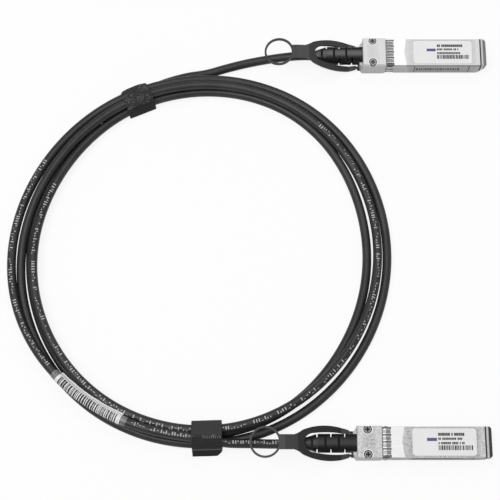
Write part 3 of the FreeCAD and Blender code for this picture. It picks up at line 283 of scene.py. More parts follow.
class Nodes:
    """A material's node tree with short ways to add to it."""

    def __init__(self, name):
        self.material = bpy.data.materials.new(name)
        self.material.use_nodes = True
        self.tree = self.material.node_tree
        self.shader = self.tree.nodes["Principled BSDF"]
        self.place = self.add("TexCoord").outputs["Object"]

    def add(self, kind, **settings):
        """A shader node, with its settings or the constants of its sockets."""
        node = self.tree.nodes.new("ShaderNode" + kind)
        for key, value in settings.items():
            if key in node.bl_rna.properties:
                setattr(node, key, value)
            else:
                node.inputs[key.replace("_", " ")].default_value = value
        return node

    def link(self, output, node, socket):
        self.tree.links.new(output, node.inputs[socket])

    def noise(self, scale, detail=3.0, rough=0.5, stretch=(1, 1, 1)):
        mapping = self.add("Mapping")
        mapping.inputs["Scale"].default_value = stretch
        self.link(self.place, mapping, "Vector")
        texture = self.add("TexNoise", Scale=scale, Detail=detail, Roughness=rough)
        self.link(mapping.outputs["Vector"], texture, "Vector")
        return texture.outputs["Fac"]

    def ramp(self, value, *stops):
        """A colour that runs through stops along a value."""
        node = self.add("ValToRGB")
        elements = node.color_ramp.elements
        while len(elements) < len(stops):
            elements.new(0.5)
        for element, (position, colour) in zip(elements, stops):
            element.position = position
            element.color = (*colour, 1)
        self.link(value, node, "Fac")
        return node.outputs["Color"]

    def mix(self, factor, first, second, blend="MIX"):
        """A blend of two colours; each input is a socket or a constant."""
        node = self.add("Mix", data_type="RGBA", blend_type=blend)
        sockets = {s.identifier: s for s in node.inputs}
        for source, key in ((factor, "Factor_Float"), (first, "A_Color"), (second, "B_Color")):
            if hasattr(source, "links"):
                self.tree.links.new(source, sockets[key])
            elif key == "Factor_Float":
                sockets[key].default_value = source
            else:
                sockets[key].default_value = (*source, 1)
        return node.outputs["Result"]

    def math(self, operation, first, second=0.0):
        """A calculation; each input is a socket or a constant."""
        node = self.add("Math", operation=operation)
        for k, source in enumerate((first, second)):
            if hasattr(source, "links"):
                self.tree.links.new(source, node.inputs[k])
            else:
                node.inputs[k].default_value = source
        return node.outputs["Value"]

    def band(self, axis, low, high):
        """1 where a coordinate in millimetres lies between two values."""
        part = self.add("SeparateXYZ")
        self.link(self.place, part, "Vector")
        above = self.math("GREATER_THAN", part.outputs[axis], low * MM)
        below = self.math("LESS_THAN", part.outputs[axis], high * MM)
        return self.math("MULTIPLY", above, below)

    def disc(self, x, y, radius):
        """1 inside an upright cylinder round a point in millimetres."""
        flat = self.add("Mapping")
        flat.inputs["Scale"].default_value = (1, 1, 0)
        self.link(self.place, flat, "Vector")
        away = self.add("VectorMath", operation="DISTANCE")
        self.link(flat.outputs["Vector"], away, 0)
        away.inputs[1].default_value = (x * MM, y * MM, 0)
        return self.math("LESS_THAN", away.outputs["Value"], radius * MM)

    def colour(self, source):
        self.link(source, self.shader, "Base Color")

    def roughness(self, value, low, high):
        node = self.add("MapRange")
        node.inputs["To Min"].default_value = low
        node.inputs["To Max"].default_value = high
        self.link(value, node, "Value")
        self.link(node.outputs["Result"], self.shader, "Roughness")

    def bump(self, height, distance, strength=1.0, normal=None):
        node = self.add("Bump", Strength=strength, Distance=distance * MM)
        self.link(height, node, "Height")
        if normal:
            self.link(normal, node, "Normal")
        self.link(node.outputs["Normal"], self.shader, "Normal")
        return node.outputs["Normal"]

    def set(self, **values):
        for key, value in values.items():
            self.shader.inputs[key.replace("_", " ")].default_value = value


def grey(level):
    """Linear colour of an sRGB grey from 0 to 255."""
    value = level / 255
    linear = value / 12.92 if value <= 0.04045 else ((value + 0.055) / 1.055) ** 2.4
    return (linear, linear, linear)


def cast_metal(name, dark, light, scale, patches):
    """Bead-blasted die-cast zinc with a fine grain and rubbed edges; patches differ in their grey."""
    grain = 0.03
    nodes = Nodes(name)
    fine = nodes.noise(scale, 4, 0.65)
    broad = nodes.noise(190, 3, 0.5)
    base = nodes.ramp(fine, (0.36, grey(dark)), (0.62, grey(light)))
    cloud = nodes.ramp(broad, (0.3, (0.93, 0.93, 0.93)), (0.7, (1, 1, 1)))
    base = nodes.mix(1.0, base, cloud, "MULTIPLY")
    edge = nodes.add("NewGeometry").outputs["Pointiness"]
    rub = nodes.ramp(edge, (0.52, (0, 0, 0)), (0.58, (1, 1, 1)))
    base = nodes.mix(nodes.math("MULTIPLY", rub, 0.3), base, grey(236))
    for mask, level in patches:
        base = nodes.mix(mask(nodes), base, grey(level))
    nodes.colour(base)
    nodes.set(Metallic=0.35)
    nodes.roughness(broad, 0.45, 0.6)
    first = nodes.bump(fine, grain)
    nodes.bump(nodes.noise(900, 2, 0.4), grain, normal=first)
    return nodes.material


def drawn_wire(name, level, rough):
    """Bright spring steel with a faint grain."""
    nodes = Nodes(name)
    streaks = nodes.noise(900, 3, 0.6, stretch=(0.15, 1, 1))
    nodes.colour(nodes.ramp(streaks, (0.3, grey(level - 12)), (0.7, grey(level))))
    nodes.set(Metallic=0.6)
    nodes.roughness(streaks, rough - 0.06, rough + 0.06)
    nodes.bump(streaks, 0.01, 0.5)
    return nodes.material


def slide_metal(name, rear):
    """Sheet of the latch slide; its arms are darker behind the housing."""
    nodes = Nodes(name)
    streaks = nodes.noise(900, 3, 0.6, stretch=(0.15, 1, 1))
    base = nodes.ramp(streaks, (0.3, grey(164)), (0.7, grey(176)))
    darker_behind_housing = nodes.band("X", rear - ARM_REACH, rear - 0.1)
    nodes.colour(nodes.mix(darker_behind_housing, base, grey(38)))
    nodes.set(Metallic=0.5)
    nodes.roughness(streaks, 0.32, 0.44)
    nodes.bump(streaks, 0.01, 0.5)
    return nodes.material


def screw_metal(name, rear, middle, recess):
    """Turned steel of the cover's screws, with painted shade in the cross recess."""
    rim = 1.18
    hollow = 1.05
    slot_half = 0.3
    nodes = Nodes(name)
    turning = nodes.noise(1400, 3, 0.6)
    base = nodes.ramp(turning, (0.3, grey(136)), (0.7, grey(176)))
    for side in (1, -1):
        x, y = rear + SCREW[0], middle + side * SCREW[1]
        base = nodes.mix(nodes.disc(x, y, rim), base, grey(112))
        # Painted shade in the cross recess.
        inside = nodes.disc(x, y, hollow)
        for axis, centre in (("X", x), ("Y", y)):
            stroke = nodes.band(axis, centre - slot_half, centre + slot_half)
            base = nodes.mix(nodes.math("MULTIPLY", inside, stroke), base, grey(recess))
    nodes.colour(base)
    nodes.set(Metallic=0.6)
    nodes.roughness(turning, 0.34, 0.46)
    nodes.bump(turning, 0.02)
    return nodes.material


def finger_sheet(name, rear, middle, level, side):
    """Plated sheet of the spring collar; painted highlight and shade stripes on its fingers' middles,
    painted shade on its sides.
    """
    crest_end = 14.5
    crest_half = 0.85
    pitch = 3.0
    shaded_side_start = 6.62
    shaded_side_end = 8.0
    nodes = Nodes(name)
    streaks = nodes.noise(900, 3, 0.6, stretch=(0.15, 1, 1))
    base = nodes.ramp(streaks, (0.3, grey(level - 8)), (0.7, grey(level)))
    crest_stripes = nodes.add("TexWave", wave_type="BANDS", bands_direction="X", Scale=620)
    nodes.link(nodes.place, crest_stripes, "Vector")
    crest_highlight_and_shade = nodes.ramp(crest_stripes.outputs["Fac"], (0.3, grey(96)), (0.7, grey(188)))
    # Painted highlight and shade, striped across the fingers' formed middles.
    crests = nodes.band("X", rear + SEAT[0], rear + crest_end)
    for step in (-1.5, -0.5, 0.5, 1.5):
        centre = middle + pitch * step
        crest = nodes.band("Y", centre - crest_half, centre + crest_half)
        base = nodes.mix(nodes.math("MULTIPLY", crests, crest), base, crest_highlight_and_shade)
    # Painted shade on the collar's sides.
    for low, high in ((-shaded_side_end, -shaded_side_start), (shaded_side_start, shaded_side_end)):
        base = nodes.mix(nodes.band("Y", middle + low, middle + high), base, grey(side))
    nodes.colour(base)
    nodes.set(Metallic=0.5)
    nodes.roughness(streaks, 0.34, 0.46)
    nodes.bump(streaks, 0.01, 0.5)
    return nodes.material


def moulded(name, dark, light, rough):
    """Moulded plastic with a fine spark-eroded texture."""
    nodes = Nodes(name)
    fine = nodes.noise(2200, 3, 0.6)
    broad = nodes.noise(130, 3, 0.5)
    nodes.colour(nodes.ramp(broad, (0.3, grey(dark)), (0.7, grey(light))))
    nodes.set(Specular_IOR_Level=0.4)
    nodes.roughness(broad, rough - 0.05, rough + 0.07)
    nodes.bump(fine, 0.012)
    return nodes.material


def boot_rubber_lit_and_shaded(name, rear, middle, crown, flank):
    """Soft black moulding of the strain relief: a painted highlight on its crown, painted shade down its
    sides and in its grooves.
    """
    half_width = 5.0
    groove_half = 0.5
    nodes = Nodes(name)
    fine = nodes.noise(2200, 3, 0.6)
    part = nodes.add("SeparateXYZ")
    nodes.link(nodes.place, part, "Vector")
    aside = nodes.math("ABSOLUTE", nodes.math("SUBTRACT", part.outputs["Y"], middle * MM))
    share = nodes.math("MULTIPLY", aside, 1 / (half_width * MM))
    # Painted highlight along the crown, fading to painted shade down the flanks.
    base = nodes.ramp(share, (0.1, grey(crown)), (0.44, grey(flank)))
    # Painted shade in the grooves.
    for number in range(GROOVE_COUNT):
        groove = rear - GROOVE_START - GROOVE_PITCH * number
        base = nodes.mix(nodes.band("X", groove - groove_half, groove + groove_half), base, grey(6))
    nodes.colour(base)
    nodes.set(Specular_IOR_Level=0.16)
    nodes.roughness(fine, 0.3, 0.42)
    nodes.bump(fine, 0.012)
    return nodes.material


def fabric(name, dark, light, pile_height=0.09, shine=0.12):
    """Black hook-and-loop webbing, brushed on its loop side."""
    nodes = Nodes(name)
    pile = nodes.noise(1900, 5, 0.72)
    cross = nodes.noise(620, 2, 0.5, stretch=(1, 1, 2.4))
    nodes.colour(nodes.ramp(pile, (0.32, grey(dark)), (0.72, grey(light))))
    nodes.set(Roughness=0.92, Specular_IOR_Level=shine, Sheen_Weight=0.03, Sheen_Roughness=0.5)
    first = nodes.bump(pile, pile_height)
    nodes.bump(cross, pile_height, normal=first)
    return nodes.material


def rubbed_fabric(name, dark, light, speck):
    """Webbing with its hook side out, rubbed pale in small specks."""
    nodes = Nodes(name)
    pile = nodes.noise(1300, 4, 0.6)
    specks = nodes.noise(1700, 2, 0.5)
    patches = nodes.noise(150, 2, 0.5)
    base = nodes.ramp(pile, (0.3, grey(dark)), (0.7, grey(light)))
    speckled = nodes.math("GREATER_THAN", specks, 0.58)
    rubbed = nodes.math("GREATER_THAN", patches, 0.45)
    nodes.colour(nodes.mix(nodes.math("MULTIPLY", speckled, rubbed), base, grey(speck)))
    nodes.set(Roughness=0.8, Specular_IOR_Level=0.2, Sheen_Weight=0.03, Sheen_Roughness=0.5)
    nodes.bump(pile, 0.08)
    return nodes.material


def printed(name, level, tint=(1, 1, 1)):
    """Printing ink that is a little uneven."""
    nodes = Nodes(name)
    speck = nodes.noise(3200, 3, 0.6)
    ink_low = tuple(part * share for part, share in zip(grey(level), tint))
    ink_high = tuple(part * share for part, share in zip(grey(level + 26), tint))
    nodes.colour(nodes.ramp(speck, (0.35, ink_low), (0.75, ink_high)))
    nodes.roughness(speck, 0.5, 0.63)
    return nodes.material


def paper(name, level):
    """Satin white label film with a faint mottle."""
    nodes = Nodes(name)
    broad = nodes.noise(160, 3, 0.5)
    nodes.colour(nodes.ramp(broad, (0.3, grey(level - 5)), (0.7, grey(level))))
    nodes.roughness(broad, 0.42, 0.5)
    nodes.bump(nodes.noise(700, 2, 0.5), 0.01)
    return nodes.material


def board(name):
    """Green solder mask over copper tracks."""
    nodes = Nodes(name)
    tracks = nodes.add("TexWave", wave_type="BANDS", bands_direction="Y", Scale=260, Distortion=0.6)
    nodes.link(nodes.place, tracks, "Vector")
    nodes.colour(
        nodes.ramp(tracks.outputs["Fac"], (0.45, (0.006, 0.05, 0.02)), (0.55, (0.012, 0.09, 0.035)))
    )
    nodes.roughness(tracks.outputs["Fac"], 0.3, 0.36)
    nodes.bump(tracks.outputs["Fac"], 0.02)
    return nodes.material


def plated(name, dark, light, rough):
    """Plated contacts and turned brass with light handling marks."""
    nodes = Nodes(name)
    marks = nodes.noise(500, 3, 0.6)
    nodes.colour(nodes.ramp(marks, (0.3, dark), (0.7, light)))
    nodes.set(Metallic=1.0)
    nodes.roughness(marks, rough - 0.05, rough + 0.08)
    nodes.bump(marks, 0.008)
    return nodes.material


def jacket(name):
    """Satin black cable jacket with drawn streaks."""
    nodes = Nodes(name)
    fine = nodes.noise(1500, 4, 0.6)
    broad = nodes.noise(90, 3, 0.5)
    nodes.colour(nodes.ramp(broad, (0.3, grey(34)), (0.7, grey(46))))
    nodes.set(Specular_IOR_Level=0.42)
    nodes.roughness(fine, 0.36, 0.48)
    nodes.bump(fine, 0.02)
    return nodes.material


def clear_film(name):
    """Clear laminate over the dark jacket."""
    nodes = Nodes(name)
    crease = nodes.noise(420, 3, 0.6)
    nodes.colour(nodes.ramp(crease, (0.35, grey(88)), (0.7, grey(132))))
    nodes.roughness(crease, 0.18, 0.34)
    nodes.bump(crease, 0.05)
    return nodes.material


def plug_materials(tag, plug):
    """Zinc of the cover and of the housing, with the dark joints, bright bore rims and painted shade of one
    plug.
    """
    rear, middle = plug["rear"], plug["middle"]

    def bore(side, radius):
        """Mask of a screw's bore."""
        return lambda nodes: nodes.disc(rear + SCREW[0], middle + side * SCREW[1], radius)

    def stretch(start, end):
        """Mask of a stretch of the plug's length."""
        return lambda nodes: nodes.band("X", rear + start, rear + end)

    def on_side(start, end, low, high):
        """Mask of a window of lengths and heights on the sides of the nose."""

        def mask(nodes):
            length = nodes.band("X", rear + start, rear + end)
            window = nodes.math("MULTIPLY", length, nodes.band("Z", low, high))
            inside = nodes.band("Y", middle - NOSE_SIDE, middle + NOSE_SIDE)
            return nodes.math("MULTIPLY", window, nodes.math("SUBTRACT", 1.0, inside))

        return mask

    # Round each screw a bright rim, and painted shade in its bore.
    bores = [
        (bore(side, radius), level)
        for side in (1, -1)
        for radius, level in ((BORE_RIM, 232), (BORE, plug["screw"][0]))
    ]
    # Painted shade on the zinc under the collar's fingers.
    shade_under_fingers = (stretch(*SEAT), 104)
    seam = (stretch(*SEAM), 60)
    # Painted shade on the nose's rim.
    lip_shade = (stretch(*LIP), plug["lip_shade"])
    split = (on_side(SEAT[1], SEAM[0], *SPLIT), 74)
    ends = [(on_side(end - PANEL_EDGE, end + PANEL_EDGE, *PANEL_RISE), 92) for end in PANEL]
    scale = plug["scale"]
    cover = cast_metal("zinc_cover_" + tag, *plug["cover"], scale, [*bores, shade_under_fingers, seam, split])
    shell = cast_metal("zinc_shell_" + tag, *plug["shell"], scale, [shade_under_fingers, seam, lip_shade, split, *ends])
    return cover, shell


spring_steel = drawn_wire("spring_wire", 160, 0.3)
chip_plastic = moulded("chip_plastic", 26, 34, 0.6)
lead_plastic = moulded("lead_insulation", 150, 170, 0.5)
webbing = fabric("strap_webbing", 20, 44)
webbing_smooth = fabric("strap_smooth", 53, 67, 0.03)
# A painted highlight for the ridge of the folded strap end.
webbing_ridge_highlight = fabric("strap_ridge_highlight", 76, 90, 0.02, 0.4)
# A middle grey of the same webbing.
webbing_mid = fabric("strap_mid", 32, 58, 0.06)
hook_fabric = fabric("strap_hooks", 90, 170)
webbing_rubbed = rubbed_fabric("strap_rubbed", 36, 58, 96)
label_paper = paper("label_film", 232)
wrap_paper = paper("wrap_film", 226)
wrap_clear = clear_film("wrap_laminate")
ink = printed("label_ink", 28)
blue_ink = printed("label_blue", 120, tint=(0.35, 0.38, 1.0))
mark_ink = printed("housing_mark", 62)
legend_ink = printed("jacket_ink", 166)
green_board = board("board_mask")
gold = plated("gold_pads", (0.72, 0.45, 0.13), (0.9, 0.62, 0.22), 0.25)
brass = plated("ferrule_brass", (0.5, 0.34, 0.14), (0.66, 0.47, 0.2), 0.32)
cable.data.materials.append(jacket("cable_jacket"))

# ---------------------------------------------------------- mesh utilities


def make_object(name, bm, material):
    """Turns a bmesh into a shown piece that rides on the root body."""
    mesh = bpy.data.meshes.new(name)
    bmesh.ops.recalc_face_normals(bm, faces=bm.faces)
    for face in bm.faces:
        face.smooth = True
    bm.to_mesh(mesh)
    bm.free()
    mesh.transform(Matrix.Scale(MM, 4))
    mesh.materials.append(material)
    mesh.set_sharp_from_angle(angle=math.radians(38))
    obj = bpy.data.objects.new(name, mesh)
    bpy.context.scene.collection.objects.link(obj)
    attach(obj, "root")
    return obj


def add_grid(bm, rows, closed_rows=False, closed_columns=False):
    """Quads between rows of points; returns the rows of vertices."""
    grid = [[bm.verts.new(point) for point in row] for row in rows]
    row_count = len(grid) if closed_rows else len(grid) - 1
    for i in range(row_count):
        upper = grid[i]
        lower = grid[(i + 1) % len(grid)]
        column_count = len(upper) if closed_columns else len(upper) - 1
        for j in range(column_count):
            k = (j + 1) % len(upper)
            bm.faces.new((upper[j], upper[k], lower[k], lower[j]))
    return grid


class Sequence:
    """A repeatable run of even numbers between 0 and 1."""

    def __init__(self, seed):
        self.state = seed

    def next(self, low=0.0, high=1.0):
        self.state = (self.state * 1103515245 + 12345) % 2147483648
        return low + (high - low) * self.state / 2147483648


# ------------------------------------------------------- marks on the cable


def cable_patch(bm, start, end, low, high, radius):
    """A patch that lies on the cable between two lengths and two angles."""
    steps = 4
    rows = []
    for i in range(steps + 1):
        angle = low + (high - low) * i / steps
        rows.append([line.surface(s, angle, radius) for s in (start, (start + end) / 2, end)])
    add_grid(bm, rows)


# Stretches of the cable, in degrees turned round the coil, whose print faces up.
LEGEND_TURNS = ((515, 770), (1229, 1298), (1329, 1440))


def jacket_legend():
    """Plain strokes and dashes printed along the jacket, wandering a little round its top."""
    # Each stroke's length, and the angles between which it crosses the jacket.
    strokes = ((0.46, -21, 21), (0.46, -21, -2), (0.46, 2, 21), (0.9, -4, 4), (0.9, 14, 21), (0.5, -21, 21))
    radius = CABLE_RADIUS + 0.015
    bm = bmesh.new()
    dice = Sequence(41)
    for start_turn, end_turn in LEGEND_TURNS:
        length = line.length_at(start_turn)
        end = min(line.length_at(end_turn), line.lengths[-1] - 6)
        while length < end:
            middle = 90 + 16 * math.sin(length / 61) + 9 * math.sin(length / 17)
            width, low, high = strokes[int(dice.next(0, len(strokes)))]
            cable_patch(bm, length, length + width, middle + low, middle + high, radius)
            length += width + dice.next(0.5, 0.9)
            if dice.next() < 0.12:
                length += dice.next(1.6, 3.0)
    return make_object("jacket_legend", bm, legend_ink)


# Ends of the wrap label along the cable.
WRAP_FROM = line.length_at(1300.6)
WRAP_TO = line.length_at(1327.5)


def wrap_sheet(bm, start, end, low, high, radius):
    """Part of the wrap label's film, laid round the cable between two angles."""
    row_step = 1.2
    columns = 12
    rows = []
    count = max(2, round((end - start) / row_step))
    for i in range(count + 1):
        s = start + (end - start) * i / count
        row = []
        for j in range(columns + 1):
            angle = low + (high - low) * j / columns
            wave = 0.05 * noise.noise(Vector((s * 0.35, angle * 0.02, 0)))
            row.append(line.surface(s, angle, radius + wave))
        rows.append(row)
    add_grid(bm, rows)


def wrap_flag(bm, start, end):
    """Edge of the label's film, stuck to itself beside the cable."""
    steps = 24
    root = 1.9
    rows = []
    for i in range(steps + 1):
        place, _, aside, upward = line.frame(start + (end - start) * i / steps)
        reach = 2.95 + 0.1 * noise.noise(Vector((i * 0.3, 0, 4)))
        profile = ((root, 0.5), (reach, 0.1), (reach, -0.1), (root, -0.3))
        rows.append([place + aside * across + upward * rise for across, rise in profile])
    add_grid(bm, rows, closed_columns=True)


def wrap_label():
    """A laminated label round the cable, with plain bars across it."""
    clear_end = 2.8
    bare_end = 1.6
    start = WRAP_FROM + clear_end
    end = WRAP_TO - clear_end
    film = bmesh.new()
    wrap_sheet(film, WRAP_FROM, WRAP_TO, -60, 300, CABLE_RADIUS + 0.16)
    clear = make_object("wrap_laminate", film, wrap_clear)
    body = bmesh.new()
    wrap_sheet(body, start, end, 5, 205, CABLE_RADIUS + 0.26)
    wrap_flag(body, start, end)
    white = make_object("wrap_label", body, wrap_paper)
    bars = bmesh.new()
    dice = Sequence(7)
    s = start + bare_end
    while s < end - bare_end:
        width = 0.3 + 0.18 * int(dice.next(0, 4))
        wrap_sheet(bars, s, min(s + width, end - bare_end), 56, 194, CABLE_RADIUS + 0.30)
        s += width + 0.28 + 0.14 * int(dice.next(0, 3))
    dark = make_object("wrap_bars", bars, ink)
    return [clear, white, dark]


# ------------------------------------------------------------------- straps


STRAP_WIDTH = 13.2
STRAP_FLOOR = 0.02     # heights between which the straps stay
STRAP_TOP = 10.95
RING_MIDDLE = 83.0     # radius from which a strap's cross-section is measured


class Strap:
    """A hook-and-loop strap across the bundle at an angle of the coil."""

    def __init__(self, name, degrees, slack):
        self.name = name
        self.slack = slack
        angle = math.radians(degrees)
        self.radial = Vector((math.cos(angle), math.sin(angle), 0))
        self.tangent = Vector((-math.sin(angle), math.cos(angle), 0))
        self.origin = polar(RING_MIDDLE, degrees, 0)
        self.strands = self.find_strands()
        self.hooks = bmesh.new()
        self.ribs = bmesh.new()
        self.pieces = []

    def find_strands(self):
        """Places of the cable's turns in the strap's own cross-section."""
        bundle_half = 14
        found = []
        for point in line.points[::2]:
            offset = point - self.origin
            u = offset.dot(self.radial)
            if abs(offset.dot(self.tangent)) < STRAP_WIDTH * 0.55 and abs(u) < bundle_half:
                found.append((u, point.z))
        inner = min(found)
        return [*found, (inner[0] - self.slack, inner[1])]

    def outline(self, gap):
        """Closed outline round the strands at a gap, evenly divided."""
        count = 96
        directions = 240
        support = []
        for i in range(directions):
            angle = 2 * math.pi * i / directions - math.pi / 2
            cosine, sine = math.cos(angle), math.sin(angle)
            u, z = max(self.strands, key=lambda place: place[0] * cosine + place[1] * sine)
            radius = CABLE_RADIUS + gap
            support.append(Vector((u + radius * cosine, max(z + radius * sine, gap * 0.5), 0)))
        total = [0.0]
        closed = support + support[:1]
        for before, after in zip(closed, closed[1:]):
            total.append(total[-1] + (after - before).length)
        even = []
        k = 0
        for i in range(count):
            target = total[-1] * i / count
            while total[k + 1] < target:
                k += 1
            span = max(total[k + 1] - total[k], 1e-9)
            even.append(closed[k].lerp(closed[k + 1], (target - total[k]) / span))
        return even

    def world(self, u, z, across):
        """A place from its cross-section and its distance across the strap."""
        height = min(max(z, STRAP_FLOOR), STRAP_TOP)
        return self.origin + self.radial * u + self.tangent * across + UP * height

    def ribbon(
        self, part, material, path, thickness, closed=False, cut=None, wobble=0.1, seed=0.0, crown=0.0
    ):
        """A strip of webbing along a path of (u, z) points, as a piece of its own."""
        bm = bmesh.new()
        count = len(path)
        half = STRAP_WIDTH / 2
        # Places across the strip as shares of its half width, and how much of its thickness each has.
        columns = (-1, -0.985, -0.93, -0.75, -0.5, -0.25, 0, 0.25, 0.5, 0.75, 0.93, 0.985, 1)
        fullness = (0.35, 0.75, 1, 1, 1, 1, 1, 1, 1, 1, 1, 0.75, 0.35)
        rows_out = []
        rows_in = []
        for i, point in enumerate(path):
            before = path[(i - 1) % count] if closed or i else path[0]
            after = path[(i + 1) % count] if closed or i < count - 1 else path[-1]
            along = (after - before).normalized()
            outward = Vector((along.y, -along.x, 0))
            outer = []
            inner = []
            for share, full in zip(columns, fullness):
                across = share * half
                if cut:
                    across = cut(i / (count - 1), share) * half
                ripple = wobble * noise.noise(Vector((i * 0.21 + seed, across * 0.23, seed)))
                place = point + outward * (thickness / 2 * full + ripple + crown * (1 - share * share))
                outer.append(self.world(place.x, place.y, across))
                place = point - outward * (thickness / 2 * full - ripple)
                inner.append(self.world(place.x, place.y + STRAP_FLOOR, across))
            rows_out.append(outer)
            rows_in.append(inner)
        out_grid = add_grid(bm, rows_out, closed_rows=closed)
        in_grid = add_grid(bm, rows_in, closed_rows=closed)
        steps = count if closed else count - 1
        for i in range(steps):
            j = (i + 1) % count
            bm.faces.new((out_grid[i][0], in_grid[i][0], in_grid[j][0], out_grid[j][0]))
            bm.faces.new((out_grid[i][-1], out_grid[j][-1], in_grid[j][-1], in_grid[i][-1]))
        if not closed:
            for end in (0, -1):
                outer = out_grid[end]
                inner = in_grid[end]
                for j in range(len(columns) - 1):
                    bm.faces.new((outer[j], outer[j + 1], inner[j + 1], inner[j]))
        name = f"strap_{part}_{self.name}"
        self.pieces.append(make_object(name, bm, material))
        return self.pieces[-1]

    def rib(self, path, across, width, height):
        """A narrow raised stroke that runs along the webbing."""
        rows = []
        for i, point in enumerate(path):
            after = path[min(i + 1, len(path) - 1)]
            before = path[max(i - 1, 0)]
            along = (after - before).normalized()
            outward = Vector((along.y, -along.x, 0))
            top = point + outward * height
            row = []
            for place, side in ((point, -0.5), (top, -0.4), (top, 0.4), (point, 0.5)):
                row.append(self.world(place.x, place.y, across + side * width))
            rows.append(row)
        add_grid(self.ribs, rows)

    def hook_row(self, path, place, low, high, size, seed):
        """A row of small hooks that stand on the webbing across the strap."""
        lift = 0.25
        dice = Sequence(seed)
        index = min(int(place * (len(path) - 1)), len(path) - 2)
        along = (path[index + 1] - path[index]).normalized()
        outward = Vector((along.y, -along.x, 0))
        across = low * STRAP_WIDTH / 2
        while across < high * STRAP_WIDTH / 2:
            base = path[index] + along * dice.next(-0.18, 0.18) + outward * lift
            height = size * dice.next(0.7, 1.2)
            corners = []
            for step, side in ((-0.5, -0.5), (0.5, -0.5), (0.5, 0.5), (-0.5, 0.5)):
                foot = base + along * (step * size * 0.8)
                place = self.world(foot.x, foot.y, across + side * size * 0.7)
                corners.append(self.hooks.verts.new(place))
            top = base + outward * height + along * (size * 0.25)
            tips = [
                self.hooks.verts.new(self.world(top.x, top.y, across + side * size * 0.25))
                for side in (-1, 1)
            ]
            self.hooks.faces.new((corners[0], corners[1], tips[0]))
            self.hooks.faces.new((corners[1], corners[2], tips[1], tips[0]))
            self.hooks.faces.new((corners[2], corners[3], tips[1]))
            self.hooks.faces.new((corners[3], corners[0], tips[0], tips[1]))
            across += size * dice.next(1.3, 1.9)

    def finish(self):
        """Closes the strap; its loop stands for the solid, and all its pieces go with the cord."""
        details = [("strap_hooks_", self.hooks)]
        if self.ribs.faces:
            details.append(("strap_ribs_", self.ribs))
        for prefix, bm in details:
            self.pieces.append(
                make_object(prefix + self.name, bm, hook_fabric)
            )
        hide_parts("tie_" + self.name)
        return self.pieces


def arc(path, start, end):
    """Part of a closed path, from one share of it to another."""
    count = len(path)
    first = round(start * count)
    last = round(end * count)
    return [path[k % count] for k in range(first, last + 1)]


def points(*places):
    """A path in a strap's cross-section."""
    return [Vector((u, z, 0)) for u, z in places]


def lower_strap():
    """Strap by plug B, with its end folded down on the outer side."""
    strap = Strap("lower", 271.7, 0.7)
    loop = strap.ribbon("loop", webbing_mid, strap.outline(0.4), 0.7, closed=True)
    cover = arc(strap.outline(0.95), 0.43, 0.84)
    strap.ribbon("cover", webbing_smooth, cover, 0.5, wobble=0.08, seed=3.1)
    for k in range(2):
        strap.hook_row(cover, 0.004 + 0.014 * k, -0.97, 0.95, 0.42, 11 + k)
    below = arc(strap.outline(0.8), 0.396, 0.417)
    dice = Sequence(61)
    across = -1.5
    while across < 6.3:
        strap.rib(below, across, 0.26, 0.16)
        across += dice.next(0.7, 1.2)
    # The fold carries a painted highlight along its ridge.
    fold = points((5.0, 6.9), (5.4, 7.2), (5.9, 7.1), (6.3, 6.6), (6.6, 5.9))
    strap.ribbon("fold", webbing_ridge_highlight, fold, 0.7, wobble=0.05, seed=6.3)
    tail = points((6.6, 5.9), (7.0, 4.8), (7.4, 3.7), (7.8, 2.5), (8.2, 1.4), (8.5, 0.7))

    def trimmed(share, column):
        """Cuts one corner off the end."""
        corner = max(0.0, share - 0.25) / 0.75
        return min(column, 1 - 0.36 * corner) if column > 0 else column

    strap.ribbon("flap", webbing, tail, 0.7, cut=trimmed, seed=7.7)
    return strap.finish()


def upper_strap():
    """Strap on the far side, with its end on the inner side of the ring."""
    strap = Strap("upper", 112.8, 0.0)
    cover_start = 0.14
    cover_end = 0.6

    def rounded(share, column):
        """Pinches the strap where it turns over the outer side of the bundle."""
        return column * (1 - 0.11 * math.exp(-(((share - 0.27) / 0.07) ** 2)))

    def rounded_cover(share, column):
        return rounded(cover_start + (cover_end - cover_start) * share, column)

    loop = strap.ribbon("loop", webbing_mid, strap.outline(0.15), 0.5, closed=True, cut=rounded)
    cover = arc(strap.outline(0.5), cover_start, cover_end)
    strap.ribbon(
        "cover", webbing_rubbed, cover, 0.5, cut=rounded_cover, wobble=0.2, seed=5.2, crown=0.5
    )
    for k in range(2):
        strap.hook_row(cover, 0.975 + 0.012 * k, 0.0, 0.97, 0.36, 23 + k)
    tail = points(
        (-5.2, 6.6), (-5.9, 6.1), (-6.5, 5.0), (-6.9, 3.9), (-7.2, 2.8), (-7.4, 1.8), (-7.6, 0.9)
    )
    strap.ribbon("flap", webbing_mid, tail, 0.8, seed=9.4)
    return strap.finish()


# -------------------------------------------------------------- plug labels


def flat_bar(bm, x_low, x_high, y_low, y_high):
    """A bar of ink that lies on the plug's label."""
    corners = ((x_low, y_low), (x_high, y_low), (x_high, y_high), (x_low, y_high))
    bm.faces.new([bm.verts.new((x, y, LABEL_INK)) for x, y in corners])


